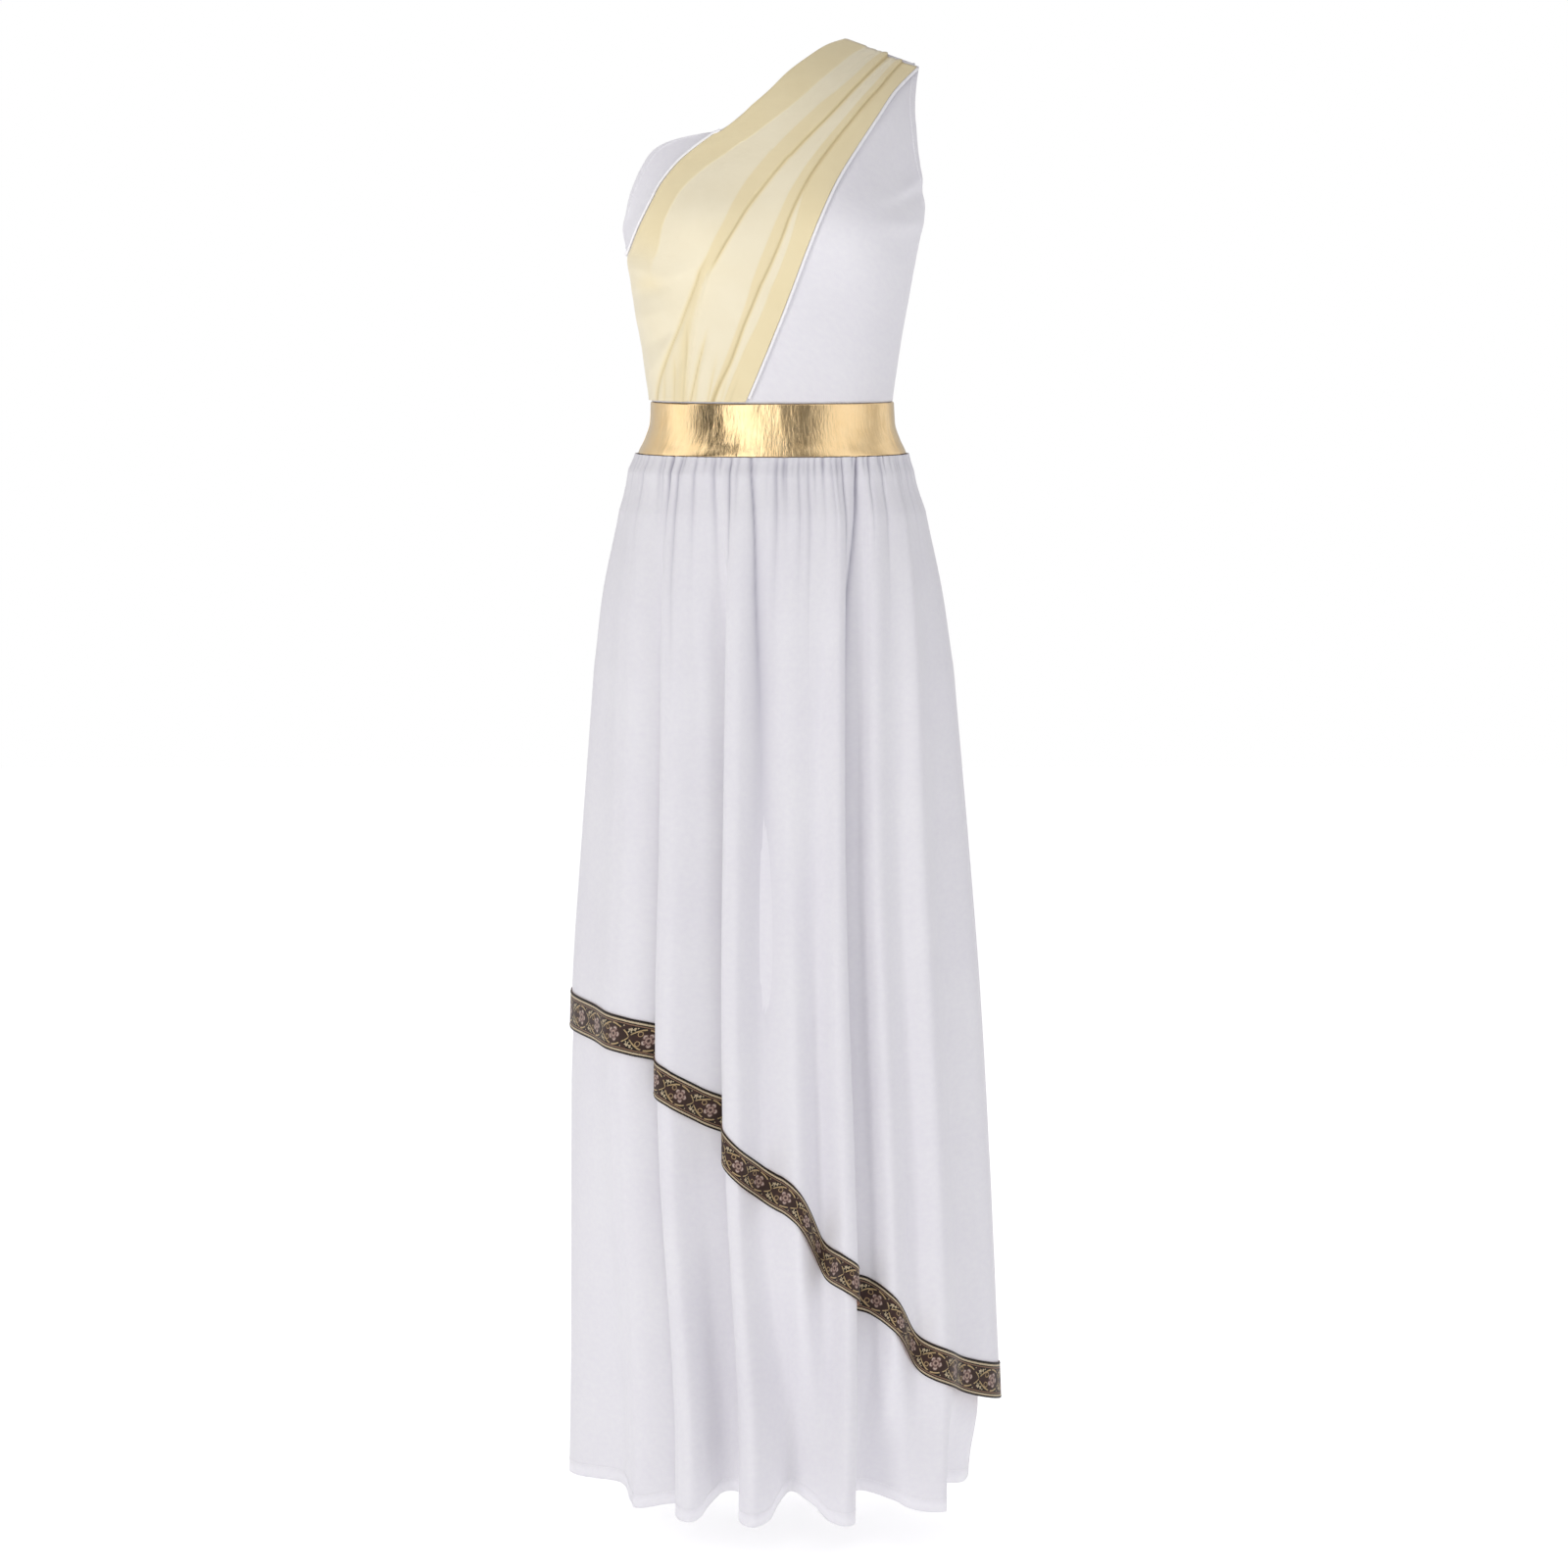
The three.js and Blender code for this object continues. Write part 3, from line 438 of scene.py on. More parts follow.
def jersey(name, light, shade, roughness, sheen):
    material, tree = new_material(name)
    uv = add(tree, "ShaderNodeUVMap", uv_map="cloth").outputs["UV"]
    # Uneven dye: broad soft patches about a hand wide, and a finer mottle
    patches = add(tree, "ShaderNodeTexNoise", {"Vector": uv, "Scale": 1 / 90, "Detail": 3, "Roughness": 0.6})
    mottle = add(tree, "ShaderNodeTexNoise", {"Vector": uv, "Scale": 1 / 5, "Detail": 2})
    both = add(tree, "ShaderNodeMath", {0: patches.outputs["Fac"], 1: mottle.outputs["Fac"]},
               operation="ADD")
    tone = add(tree, "ShaderNodeMapRange", {"Value": both.outputs[0], "From Min": 0.6, "From Max": 1.4})
    tint = add(tree, "ShaderNodeMix", {"Factor": tone.outputs[0], 6: colour(shade), 7: colour(light)},
               data_type="RGBA")
    # Painted shade: the colour darkens towards a grey lavender in the deepest gathers, more than their
    # relief alone shades them
    painted_gather_shade = add(tree, "ShaderNodeAttribute", attribute_name="painted_gather_shade")
    shaded = add(tree, "ShaderNodeMix", {"Factor": painted_gather_shade.outputs["Fac"], 6: tint.outputs[2],
                                         7: colour(0xBAB8C3)}, data_type="RGBA")
    # Wales run down the cloth, courses across it
    wales = add(tree, "ShaderNodeTexWave", {"Vector": uv, "Scale": ONE_BAND / WALE_MM, "Distortion": 0.6,
                                            "Detail": 1, "Detail Scale": 2}, bands_direction="X")
    courses = add(tree, "ShaderNodeTexWave", {
        "Vector": uv, "Scale": ONE_BAND / WALE_MM * 1.3, "Distortion": 0.8, "Detail": 1,
        "Detail Scale": 2}, bands_direction="Y")
    loops = add(tree, "ShaderNodeMath", {0: wales.outputs["Fac"], 1: courses.outputs["Fac"]},
                operation="MULTIPLY")
    knit = add(tree, "ShaderNodeBump", {"Height": loops.outputs[0], "Strength": 0.12, "Distance": 0.0004})
    slack = add(tree, "ShaderNodeTexNoise", {"Vector": uv, "Scale": 1 / 38, "Detail": 2})
    soft = add(tree, "ShaderNodeBump", {"Height": slack.outputs["Fac"], "Strength": 0.25, "Distance": 0.004,
                                        "Normal": knit.outputs["Normal"]})
    rough = add(tree, "ShaderNodeMapRange", {"Value": mottle.outputs["Fac"], "To Min": roughness - 0.06,
                                             "To Max": roughness + 0.06})
    finish_with(tree, add(tree, "ShaderNodeBsdfPrincipled", {
        "Base Color": shaded.outputs[2], "Roughness": rough.outputs[0], "IOR": 1.5,
        "Specular IOR Level": 0.25, "Sheen Weight": sheen, "Sheen Roughness": 0.5,
        "Normal": soft.outputs["Normal"]}))
    return material


white_jersey = jersey("polyester_jersey_white", 0xEEEDF0, 0xE8E6EC, 0.82, 0.2)
under_jersey = jersey("polyester_jersey_underskirt", 0xEFEEF1, 0xE9E7ED, 0.84, 0.15)
print("jersey wales", WALE_MM, "mm apart")

# %% [markdown]
# ## Bodice
# The bodice is cut with one shoulder: the right edge leaves the side seam below the arm and runs as a
# diagonal neckline to the strap, and the left edge is the armhole. Its open edges are turned in about
# 7 mm and stitched, so the cloth is a little thicker there. The rows run from the shoulder seam down
# to the waist. Columns are closer together at both edges, where the turned hem needs them.

# %% Bodice edges and soft pulls
AT_SEAM = 200                       # an edge this far out lies on the side seam
TURNED_HEM = 7
BODICE_GRID = (96, 132)             # rows, columns
HEM_LIFT = 0.3                      # how far a turned hem stands out
HEM_THICKER = 0.6                   # and how much thicker it is

# Below the arm both edges lie on the side seams
AT_SIDES = [(-AT_SEAM, z, AT_SEAM, z) for z in (-187, -210, -234, -259, -285, -312, WAIST_Z)]
FRONT_EDGES = table("right_x right_z left_x left_z", [
    (NECK_X, 0, SHOULDER_X, shoulder_z(SHOULDER_X)), (50, -7, 137, -30), (32, -19, 136, -36),
    (14, -33, 135, -43), (-4, -51, 134, -52), (-25, -69, 133.5, -61), (-48, -86, 133.5, -71),
    (-76, -91, 134.5, -82), (-98, -97, 135.5, -94), (-112, -106, 137, -108), (-123, -123, 139.5, -126),
    (-131, -141, 142, -145), (-137, -164, AT_SEAM, -166)] + AT_SIDES)
BACK_EDGES = table("right_x right_z left_x left_z", [
    (NECK_X, 0, SHOULDER_X, shoulder_z(SHOULDER_X)), (52, -12, 136, -32), (32, -32, 134.5, -40),
    (4, -60, 132.5, -52), (-24, -85, 131.5, -67), (-54, -105, 131.5, -84), (-82, -118, 133, -102),
    (-108, -130, 136, -122), (-126, -146, 140, -145), (-135, -166, AT_SEAM, -166)] + AT_SIDES)

# Soft pulls: where they lie, how they run, and how far they stand out
FRONT_PULLS = table("x z length width turn height", [
    (124, -150, 26, 6, 25, -1.8), (127, -138, 20, 5, 40, 1.4), (126, -172, 24, 7, 8, 1.4),
    (118, -124, 26, 9, 62, -1.2),
    (60, -232, 60, 26, 80, -1.0), (20, -318, 40, 10, 86, 0.5), (62, -322, 26, 8, 84, 0.5),
    (96, -318, 24, 9, 80, -0.5), (-122, -150, 24, 6, 62, -0.8), (-128, -172, 20, 5, 70, 0.6)])
BACK_PULLS = table("x z length width turn height", [
    (120, -150, 26, 8, 30, -1.0), (70, -250, 60, 22, 78, -0.9), (-60, -256, 58, 24, 100, -0.9),
    (10, -316, 34, 9, 86, 0.6), (-38, -318, 28, 8, 95, 0.5), (52, -318, 30, 9, 84, 0.5),
    (-118, -170, 24, 7, 120, 0.7)])

print("bodice:", len(FRONT_EDGES["right_z"]), "edge rows in front and", len(BACK_EDGES["right_z"]), "behind")


# %% Bodice surface
def spread_evenly(count, crowding=0.7):
    """Places from 0 to 1, closer together at both ends."""
    t = np.linspace(0, 1, count)
    return t - crowding * np.sin(2 * np.pi * t) / (2 * np.pi)


def soft_pulls(pulls, x, z):
    total = np.zeros_like(x)
    for cx, cz, length, width, turn, height in zip(*pulls.values()):
        c, s = math.cos(math.radians(turn)), math.sin(math.radians(turn))
        lengthwise = (x - cx) * c + (z - cz) * s
        sideways = (z - cz) * c - (x - cx) * s
        total += height * np.exp(-(lengthwise / length) ** 2 - (sideways / width) ** 2)
    return total


def turned_edge(points, open_right, open_left):
    """How much of the turned hem each point has: 1 on the doubled cloth and 0 past it."""
    from_right = run_length(points, 1)
    from_left = from_right[:, -1:] - from_right
    right = ease((TURNED_HEM - from_right) / 1.4) * open_right[:, None]
    left = ease((TURNED_HEM - from_left) / 1.4) * open_left[:, None]
    return np.maximum(right, left)


def bodice_surface(edges, at_back, pulls):
    place = np.linspace(0, len(edges["right_z"]) - 1, BODICE_GRID[0])
    right = along(torso_angle(edges["right_x"], edges["right_z"]), place)
    left = along(torso_angle(edges["left_x"], edges["left_z"]), place)
    right_z, left_z = along(edges["right_z"], place), along(edges["left_z"], place)
    t = spread_evenly(BODICE_GRID[1])
    if at_back:
        t = t[::-1]
    degrees = np.clip(mix(right[:, None], left[:, None], t), -90, 90)
    z = mix(right_z[:, None], left_z[:, None], t)
    degrees = 180 - degrees if at_back else degrees
    z = np.minimum(z, shoulder_z(torso_point(degrees, z)[..., 0]))
    z[-1] += SEAM_GAP / 2
    points = torso_point(degrees, z)
    points[0, :, 1] = (1 if at_back else -1) * SEAM_GAP / 2
    hem = turned_edge(points, ease((90 - abs(right)) / 4), ease((90 - abs(left)) / 4))
    hem = hem[:, ::-1] if at_back else hem
    waist = ease((z - WAIST_Z) / 3)
    relief = soft_pulls(pulls, points[..., 0], z) * waist + HEM_LIFT * hem - 0.5 * (1 - waist)
    strap = ease((shoulder_z(points[..., 0]) - z) / 6)
    points = points + grid_normals(points) * (relief * strap)[..., None]
    return points, CLOTH + HEM_THICKER * hem


# %% Bodice pieces
bodice, bodice_points = {}, {}
for half, edges, pulls in (("front", FRONT_EDGES, FRONT_PULLS), ("back", BACK_EDGES, BACK_PULLS)):
    bodice_points[half], thickness = bodice_surface(edges, half == "back", pulls)
    bodice[half] = dress(shell(f"bodice_{half}_cloth", bodice_points[half], thickness), white_jersey,
                         f"bodice_{half}")

# %% [markdown]
# ## Waistband
# The band is foil lame: a thin knit with a metal film pressed on it. The film gives broad soft
# highlights, and because it doesn't stretch as the knit does, it is covered with fine upright
# crinkles. The band is narrow at the waist and flares at its foot.

# %% Foil lame
def foil():
    material, tree = new_material("foil_lame_gold")
    uv = add(tree, "ShaderNodeUVMap", uv_map="cloth").outputs["UV"]
    # The film's crinkles are longer down the band than across it
    stretched = add(tree, "ShaderNodeMapping", {"Vector": uv, "Scale": (1 / 2.8, 1 / 12, 1)})
    crinkle = add(tree, "ShaderNodeTexNoise", {"Vector": stretched.outputs[0], "Scale": 1, "Detail": 4,
                                               "Roughness": 0.6, "Distortion": 0.5})
    broad = add(tree, "ShaderNodeTexNoise", {"Vector": uv, "Scale": 1 / 16, "Detail": 3})
    grain = add(tree, "ShaderNodeTexNoise", {"Vector": uv, "Scale": 1 / 0.9, "Detail": 1})
    tint = add(tree, "ShaderNodeMix", {"Factor": broad.outputs["Fac"], 6: colour(0xE9C896),
                                       7: colour(0xF4DAB0)}, data_type="RGBA")
    first = add(tree, "ShaderNodeBump", {"Height": grain.outputs["Fac"], "Strength": 0.1,
                                         "Distance": 0.0003})
    second = add(tree, "ShaderNodeBump", {"Height": crinkle.outputs["Fac"], "Strength": 0.27,
                                          "Distance": 0.001, "Normal": first.outputs["Normal"]})
    rough = add(tree, "ShaderNodeMapRange", {"Value": crinkle.outputs["Fac"], "From Min": 0.3,
                                             "From Max": 0.7, "To Min": 0.13, "To Max": 0.24})
    finish_with(tree, add(tree, "ShaderNodeBsdfPrincipled", {
        "Base Color": tint.outputs[2], "Metallic": 1, "Roughness": rough.outputs[0],
        "Normal": second.outputs["Normal"]}))
    return material


gold_foil = foil()

# %% Band pieces
BAND_CLOTH = 1.4
BAND_GRID = (44, 240)
BAND_ROLL = 1.6                     # the faced edges turn away over this height
CRINKLES = 46
CRINKLE_DEPTH = 0.13
BAND_SLACK = 0.5


def band_surface(from_degrees, seed):
    rng = np.random.default_rng(seed)
    z = WAIST_Z - SEAM_GAP / 2 - spread_evenly(BAND_GRID[0], 0.75)[:, None] * (BAND_HEIGHT - SEAM_GAP)
    degrees = np.broadcast_to(np.linspace(from_degrees, from_degrees + 180, BAND_GRID[1]), BAND_GRID)
    z = np.broadcast_to(z, BAND_GRID)
    down = WAIST_Z - z
    edge = np.minimum(down, BAND_HEIGHT - down)
    roll = -0.9 * (1 - np.clip(edge / BAND_ROLL, 0, 1)) ** 2
    # Upright crinkles of the film, each with its own lean and reach
    crinkles = np.zeros(BAND_GRID)
    for _ in range(CRINKLES):
        middle = from_degrees + 180 * rng.random()
        height = BAND_HEIGHT * rng.random()
        width = 0.9 + 1.6 * rng.random()
        reach = 7 + 16 * rng.random()
        lean = 0.05 * rng.standard_normal()
        away = (degrees - middle - lean * (down - height)) / width
        fades = np.exp(-away ** 2 - ((down - height) / reach) ** 2)
        crinkles += CRINKLE_DEPTH * rng.standard_normal() * fades
    slack = BAND_SLACK * np.sin(np.radians(degrees * 5.3 + 20)) * np.sin(np.pi * down / BAND_HEIGHT)
    return section_point(section_at(BAND, z), degrees, roll + crinkles + slack, z)


for half, from_degrees, seed in (("front", -90, 3), ("back", 90, 4)):
    band = shell(f"waistband_{half}_foil", band_surface(from_degrees, seed), BAND_CLOTH)
    dress(band, gold_foil, f"waistband_{half}")

# %% [markdown]
# ## Overskirt
# The skirt is cut much wider than the waist and gathered into the band's seam. Right under the seam
# the cloth stands in small uneven puckers about 9 mm apart. Most of them die out within a hand's
# width, and a few run on as long creases. Position on the cloth is counted in degrees of the waist
# seam, because the cloth is shared out evenly there, so a pucker opens out as it goes down the skirt.

# %% Gathers
GATHER_PITCH = 4.0                  # degrees of the waist seam, about 9 mm
LONG_GATHERS = table("degrees length depth lean", [
    (-74, 50, 1.6, 0), (-61, 60, 2.0, 0), (-50, 46, 1.8, 0), (-43, 90, 3.2, 0), (-37.5, 150, 3.3, 0),
    (-30, 70, 3.5, 0), (-21.4, 90, 3.8, 0), (-14.3, 110, 3.8, 0), (-6.7, 460, 3.7, 0.055),
    (1.5, 110, 3.6, 0), (4.8, 60, 2.4, 0), (9.4, 90, 2.8, 0), (13.1, 120, 2.8, 0), (19.1, 60, 2.4, 0),
    (22.8, 90, 2.6, 0), (27.5, 210, 3.2, 0.015), (35.9, 480, 3.8, -0.036), (41.6, 70, 2.4, 0),
    (49.3, 95, 2.8, 0), (61.5, 70, 2.2, 0), (70.6, 60, 2.0, 0), (84, 60, 1.6, 0), (101, 120, 2.4, 0),
    (112, 60, 2.0, 0), (124, 210, 2.8, -0.01), (137, 70, 1.6, 0), (149, 330, 3.2, 0),
    (158, 60, 1.5, 0), (166, 130, 2.2, 0), (176, 70, 1.6, 0), (185, 380, 3.2, 0.01),
    (194, 80, 1.8, 0), (206, 160, 2.3, 0), (217, 60, 1.4, 0), (226, 300, 2.8, 0), (238, 90, 1.7, 0),
    (251, 60, 1.3, 0), (262, 110, 1.6, 0)])


def small_gathers():
    rng = np.random.default_rng(12)
    degrees = np.arange(-88, 269, GATHER_PITCH)
    count = len(degrees)
    return {"degrees": degrees + GATHER_PITCH * 0.32 * rng.standard_normal(count),
            "length": 12 + 40 * rng.random(count) ** 2, "depth": 1.2 + 1.9 * rng.random(count),
            "lean": np.zeros(count)}


SMALL_GATHERS = small_gathers()
# Broad soft valleys of the hanging cloth
VALLEYS = table("degrees width depth lean", [
    (-21, 4.5, 4.0, 0), (-5, 3.6, 3.0, 0.055), (34, 3.0, 2.5, -0.036), (152, 4.5, 3.5, 0), (188, 4, 3.5, 0),
    (229, 4.5, 3.5, 0)])
RIPPLES = np.random.default_rng(5).random((16, 4))
RIPPLE_DEPTH = 0.36
PUSHED_OUT = 3.4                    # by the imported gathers, right under the band
PUSHED_HEIGHT = 19


def lean_at(lean, drop):
    """Degrees that a crease has moved: it leans near the band and hangs straight lower down."""
    return lean * 120 * (1 - np.exp(-drop / 120))


def gather_creases(s, z):
    """Depth of the waist's puckers and long creases."""
    place = waist_angle(s)
    drop = BAND_FOOT_Z - z
    creases = np.zeros(np.broadcast(place, z).shape)
    for gathers, width in ((SMALL_GATHERS, 0.8), (LONG_GATHERS, 0.62)):
        for degrees, length, depth, lean in zip(*gathers.values()):
            away = np.abs((place - degrees - lean_at(lean, drop) + 180) % 360 - 180)
            reach = np.exp(-(drop / length) ** 1.6)
            start = 0.75 + 0.25 * ease(drop / 8)
            creases += depth * reach * start * np.exp(-away / (width * (1 + drop / 120)))
    return creases


def gather_relief(s, z):
    """The creases, broad valleys and the soft unevenness of the hanging cloth."""
    place = waist_angle(s)
    drop = BAND_FOOT_Z - z
    relief = -gather_creases(s, z)
    for degrees, width, depth, lean in zip(*VALLEYS.values()):
        away = (place - degrees - lean_at(lean, drop) + 180) % 360 - 180
        fades = ease((drop - 30) / 150) * (1 - 0.6 * ease((drop - 300) / 300))
        relief -= depth * np.exp(-(away / width) ** 2) * fades
    relief += PUSHED_OUT * np.exp(-(drop / PUSHED_HEIGHT) ** 2)
    for number, phase, drift, size in RIPPLES:
        waves = 9 + round(30 * number)
        turn = np.radians(place * waves) + 6.28 * phase + (drift - 0.5) * drop / 180
        steady = ease(drop / 70) * (1 - 0.45 * ease((drop - 250) / 400))
        relief += RIPPLE_DEPTH * size * np.sin(turn) * steady
    return relief


print("gathers:", len(SMALL_GATHERS["degrees"]), "small and", len(LONG_GATHERS["degrees"]), "long")

# %% Overskirt pieces
OVERSKIRT_ROWS = 112
NORMAL_STEP = 1 / 6
FULL_GATHER_SHADE_DEPTH = 3.6                  # depth of a crease at which its shade is deepest


def overskirt_surface(s, z):
    normal = outward(overskirt_point, s, z, NORMAL_STEP)
    return overskirt_point(s, z) + normal * gather_relief(s, z)[..., None], normal


def skirt_grid(start, end, per_row, top, bottom, rows, crowding):
    """Places round the skirt and heights, with the rows closer together near the top."""
    fine = np.linspace(start, end, 4001)
    turned = waist_angle(fine) - waist_angle(fine[0])
    share = (fine - start) / (end - start) + turned / turned[-1]
    s = np.interp(np.linspace(0, 2, (end - start) * per_row + 1), share, fine)[None, :]
    t = np.linspace(0, 1, rows)[:, None] ** crowding
    return np.broadcast_to(s, (rows, s.shape[1])), mix(top(s), bottom(s), t)


def seam_top(s):
    return np.full_like(s, BAND_FOOT_Z - SEAM_GAP / 2, dtype=float)


HALVES = {"front": (0, LEFT_SEAM), "back": (LEFT_SEAM, WHOLE_ROUND)}
OVERSKIRT_PER_ROW = {"front": 16, "back": 14}
for half, (start, end) in HALVES.items():
    s, z = skirt_grid(start, end, OVERSKIRT_PER_ROW[half], seam_top,
                      lambda s: fold("hem", s) + RIBBON_HANG, OVERSKIRT_ROWS, 1.5)
    points, _ = overskirt_surface(s, z)
    # Painted shade in the gathers, deepest where a crease is deepest
    painted_gather_shade = np.clip(gather_creases(s, z) / FULL_GATHER_SHADE_DEPTH, 0, 1) ** 1.5
    cloth = shell(f"overskirt_{half}_cloth", points, values={"painted_gather_shade": painted_gather_shade})
    dress(cloth, white_jersey, f"overskirt_{half}")

# %% [markdown]
# ## Underskirt
# The underskirt is gathered into the same seam and shows only below the ribbon. Hidden, it lies inside
# the overskirt's folds. Below the slanted hem it takes folds of its own, and at the floor its hem
# dips where a fold stands forward. The hem is turned in and stitched, which stiffens the edge a
# little.

# %% Underskirt pieces
UNDERSKIRT_ROWS = 84
HEM_DIP = 0.37                      # how much lower the hem is for each millimetre a fold stands out
FLOOR_HEM_TURN = 14
TONGUE = 27                         # a fold that stands out further dips the hem no more
UNDER_RIPPLE_DEPTH = 0.5


def floor_hem(s):
    """Height of the hem, which hangs in rounded tongues where the folds stand forward."""
    stands = fold("low_out", s)
    rounded = TONGUE * np.tanh(2.4 * stands / TONGUE)
    return FLOOR_HEM_Z - np.where(stands > 0, rounded, stands) * HEM_DIP


def underskirt_surface(s, z):
    place = waist_angle(s)
    below = fold("hem", s) - z
    relief = np.zeros(np.broadcast(place, z).shape)
    for number, phase, drift, size in RIPPLES[:12]:
        waves = 7 + round(22 * phase)
        turn = np.radians(place * waves) + 6.28 * number + (drift - 0.5) * below / 150
        relief += UNDER_RIPPLE_DEPTH * size * np.sin(turn)
    normal = outward(underskirt_point, s, z, NORMAL_STEP)
    return underskirt_point(s, z) + normal * (relief * ease(below / 60))[..., None]


UNDERSKIRT_PER_ROW = {"front": 13, "back": 12}
for half, (start, end) in HALVES.items():
    s, z = skirt_grid(start, end, UNDERSKIRT_PER_ROW[half], seam_top, floor_hem, UNDERSKIRT_ROWS, 0.9)
    turned = ease((FLOOR_HEM_TURN - (z - floor_hem(s))) / 2)
    cloth = shell(f"underskirt_{half}_cloth", underskirt_surface(s, z), CLOTH + 0.4 * turned)
    dress(cloth, under_jersey, f"underskirt_{half}")

# %% [markdown]
# ## Jacquard ribbon
# A bought ribbon with a woven pattern is stitched along the slanted hem. Dark brown warp makes the
# ground, gold weft draws two crossing scroll lines that close into ovals, and each oval holds a dusty
# pink flower. Black, gold and tan lines run along both edges. This is a traditional repeat, and it is
# drawn here by rule from circles and waves in the ribbon's own millimetres.

# %% Ribbon pattern
REPEAT_MM = 32.4
RIBBON_MM = 31.5                    # woven width
FIELD_MM = 10.1                     # half height of the patterned field
RIB_MM = 0.9
FLOWER_AT = REPEAT_MM / 2 + 1.5


def distance(name, x, y, at_x, at_y):
    """Steps that give the distance from one point of the pattern."""
    return [(f"{name}_x", "SUBTRACT", x, at_x), (f"{name}_y", "SUBTRACT", y, at_y),
            (f"{name}_xx", "MULTIPLY", f"{name}_x", f"{name}_x"),
            (f"{name}_yy", "MULTIPLY", f"{name}_y", f"{name}_y"),
            (f"{name}_sum", "ADD", f"{name}_xx", f"{name}_yy"), (name, "SQRT", f"{name}_sum", 0)]


def line(name, value, at, half_width):
    """Steps that are 1 where a value lies this near to another."""
    return [(f"{name}_off", "SUBTRACT", value, at), (f"{name}_near", "ABSOLUTE", f"{name}_off", 0),
            (name, "LESS_THAN", f"{name}_near", half_width)]


# Each step is a name, an operation and its values; a word is an earlier step's result
RIBBON_STEPS = [
    ("from_middle", "SUBTRACT", "v", RIBBON_MM / 2),
    ("height", "ABSOLUTE", "from_middle", 0),
    ("within", "FLOORED_MODULO", "u", REPEAT_MM),
    ("from_flower", "SUBTRACT", "within", FLOWER_AT),
    ("from_crossing", "PINGPONG", "u", REPEAT_MM / 2),
    # Two scroll lines that cross between the flowers, outlined in dark
    ("turn", "MULTIPLY", "u", math.pi / REPEAT_MM),
    ("sine", "SINE", "turn", 0),
    ("wave", "ABSOLUTE", "sine", 0),
    ("round_wave", "POWER", "wave", 0.72),
    ("oval", "MULTIPLY", "round_wave", 9.3),
    *line("outline", "height", "oval", 1.35),
    *line("scroll", "height", "oval", 0.7),
    ("in_oval", "LESS_THAN", "height", "oval"),
    # The flower: five rounded petals round a small dark middle
    *distance("radius", "from_flower", "from_middle", 0, 0),
    ("angle", "ARCTAN2", "from_middle", "from_flower"),
    ("five", "MULTIPLY", "angle", 5),
    ("petal_wave", "COSINE", "five", 0),
    ("petal_reach", "MULTIPLY_ADD", "petal_wave", 0.8, 6.1),
    ("petals", "LESS_THAN", "radius", "petal_reach"),
    ("between", "LESS_THAN", "petal_wave", -0.8),
    ("past_middle", "GREATER_THAN", "radius", 2.4),
    ("veins", "MULTIPLY", "between", "past_middle"),
    ("tip_line", "MULTIPLY", "petal_reach", 0.8),
    *line("tip_thin", "radius", "tip_line", 0.55),
    ("tip_wide", "GREATER_THAN", "petal_wave", 0.0),
    ("tips", "MULTIPLY", "tip_thin", "tip_wide"),
    *line("ring", "radius", 2.3, 0.4),
    ("middle", "LESS_THAN", "radius", 1.1),
    # Curled tendrils and a red-brown diamond behind the flower
    *distance("tendril_r", "from_flower", "height", -8.6, 4.4),
    *line("tendril", "tendril_r", 2.1, 0.38),
    ("behind", "ADD", "from_flower", 10.2),
    ("behind_far", "ABSOLUTE", "behind", 0),
    ("diamond_far", "ADD", "behind_far", "height"),
    ("diamond", "LESS_THAN", "diamond_far", 2.8),
    # Buds and a curl above and below each crossing
    *distance("bud_r", "from_crossing", "height", 0, 7.2),
    ("bud", "LESS_THAN", "bud_r", 1.3),
    *distance("leaf_r", "from_crossing", "height", 3.4, 8.1),
    ("leaf", "LESS_THAN", "leaf_r", 1.0),
    *distance("tip_r", "from_crossing", "height", 5.6, 9.0),
    ("leaf_tip", "LESS_THAN", "tip_r", 0.65),
    *distance("curl_r", "from_crossing", "height", 2.5, 5.4),
    *line("curl", "curl_r", 1.7, 0.36),
    ("buds", "MAXIMUM", "bud", "leaf"),
    ("curls", "MAXIMUM", "curl", "leaf_tip"),
    ("leaves", "MAXIMUM", "buds", "curls"),
    ("border", "GREATER_THAN", "height", FIELD_MM),
    ("edge_place", "DIVIDE", "height", RIBBON_MM / 2),
]

# Colours laid over one another in this order, each where its step is 1
GROUND = 0x1A0F0B
RIBBON_LAYERS = [
    ("in_oval", 0x3A251D), ("diamond", 0x552F28), ("leaves", 0xD8C4A0), ("outline", 0x140B08),
    ("scroll", 0xCBAE7E), ("tendril", 0xBDA076), ("petals", 0x92736A), ("veins", 0x3E2721),
    ("tips", 0xDDCABB), ("ring", 0xC9AE9C), ("middle", 0x3A2220)]
# Lines along the edges, from the field outwards, as a share of the half width
EDGE_LINES = [(0.0, 0x17100C), (0.66, 0x96745E), (0.72, 0x20130D), (0.785, 0xE2CFAC), (0.88, 0x0D0806)]
print("ribbon pattern:", len(RIBBON_STEPS), "steps,", len(RIBBON_LAYERS), "colours over the ground")

# %% [markdown]
# ## Finish of the ribbon
# Polyester jacquard is a close weave with a dull silky face. The gold and pink weft floats over the
# brown ground, so it stands up a little and is glossier. Every step of the pattern becomes one node.

# %% Ribbon finish

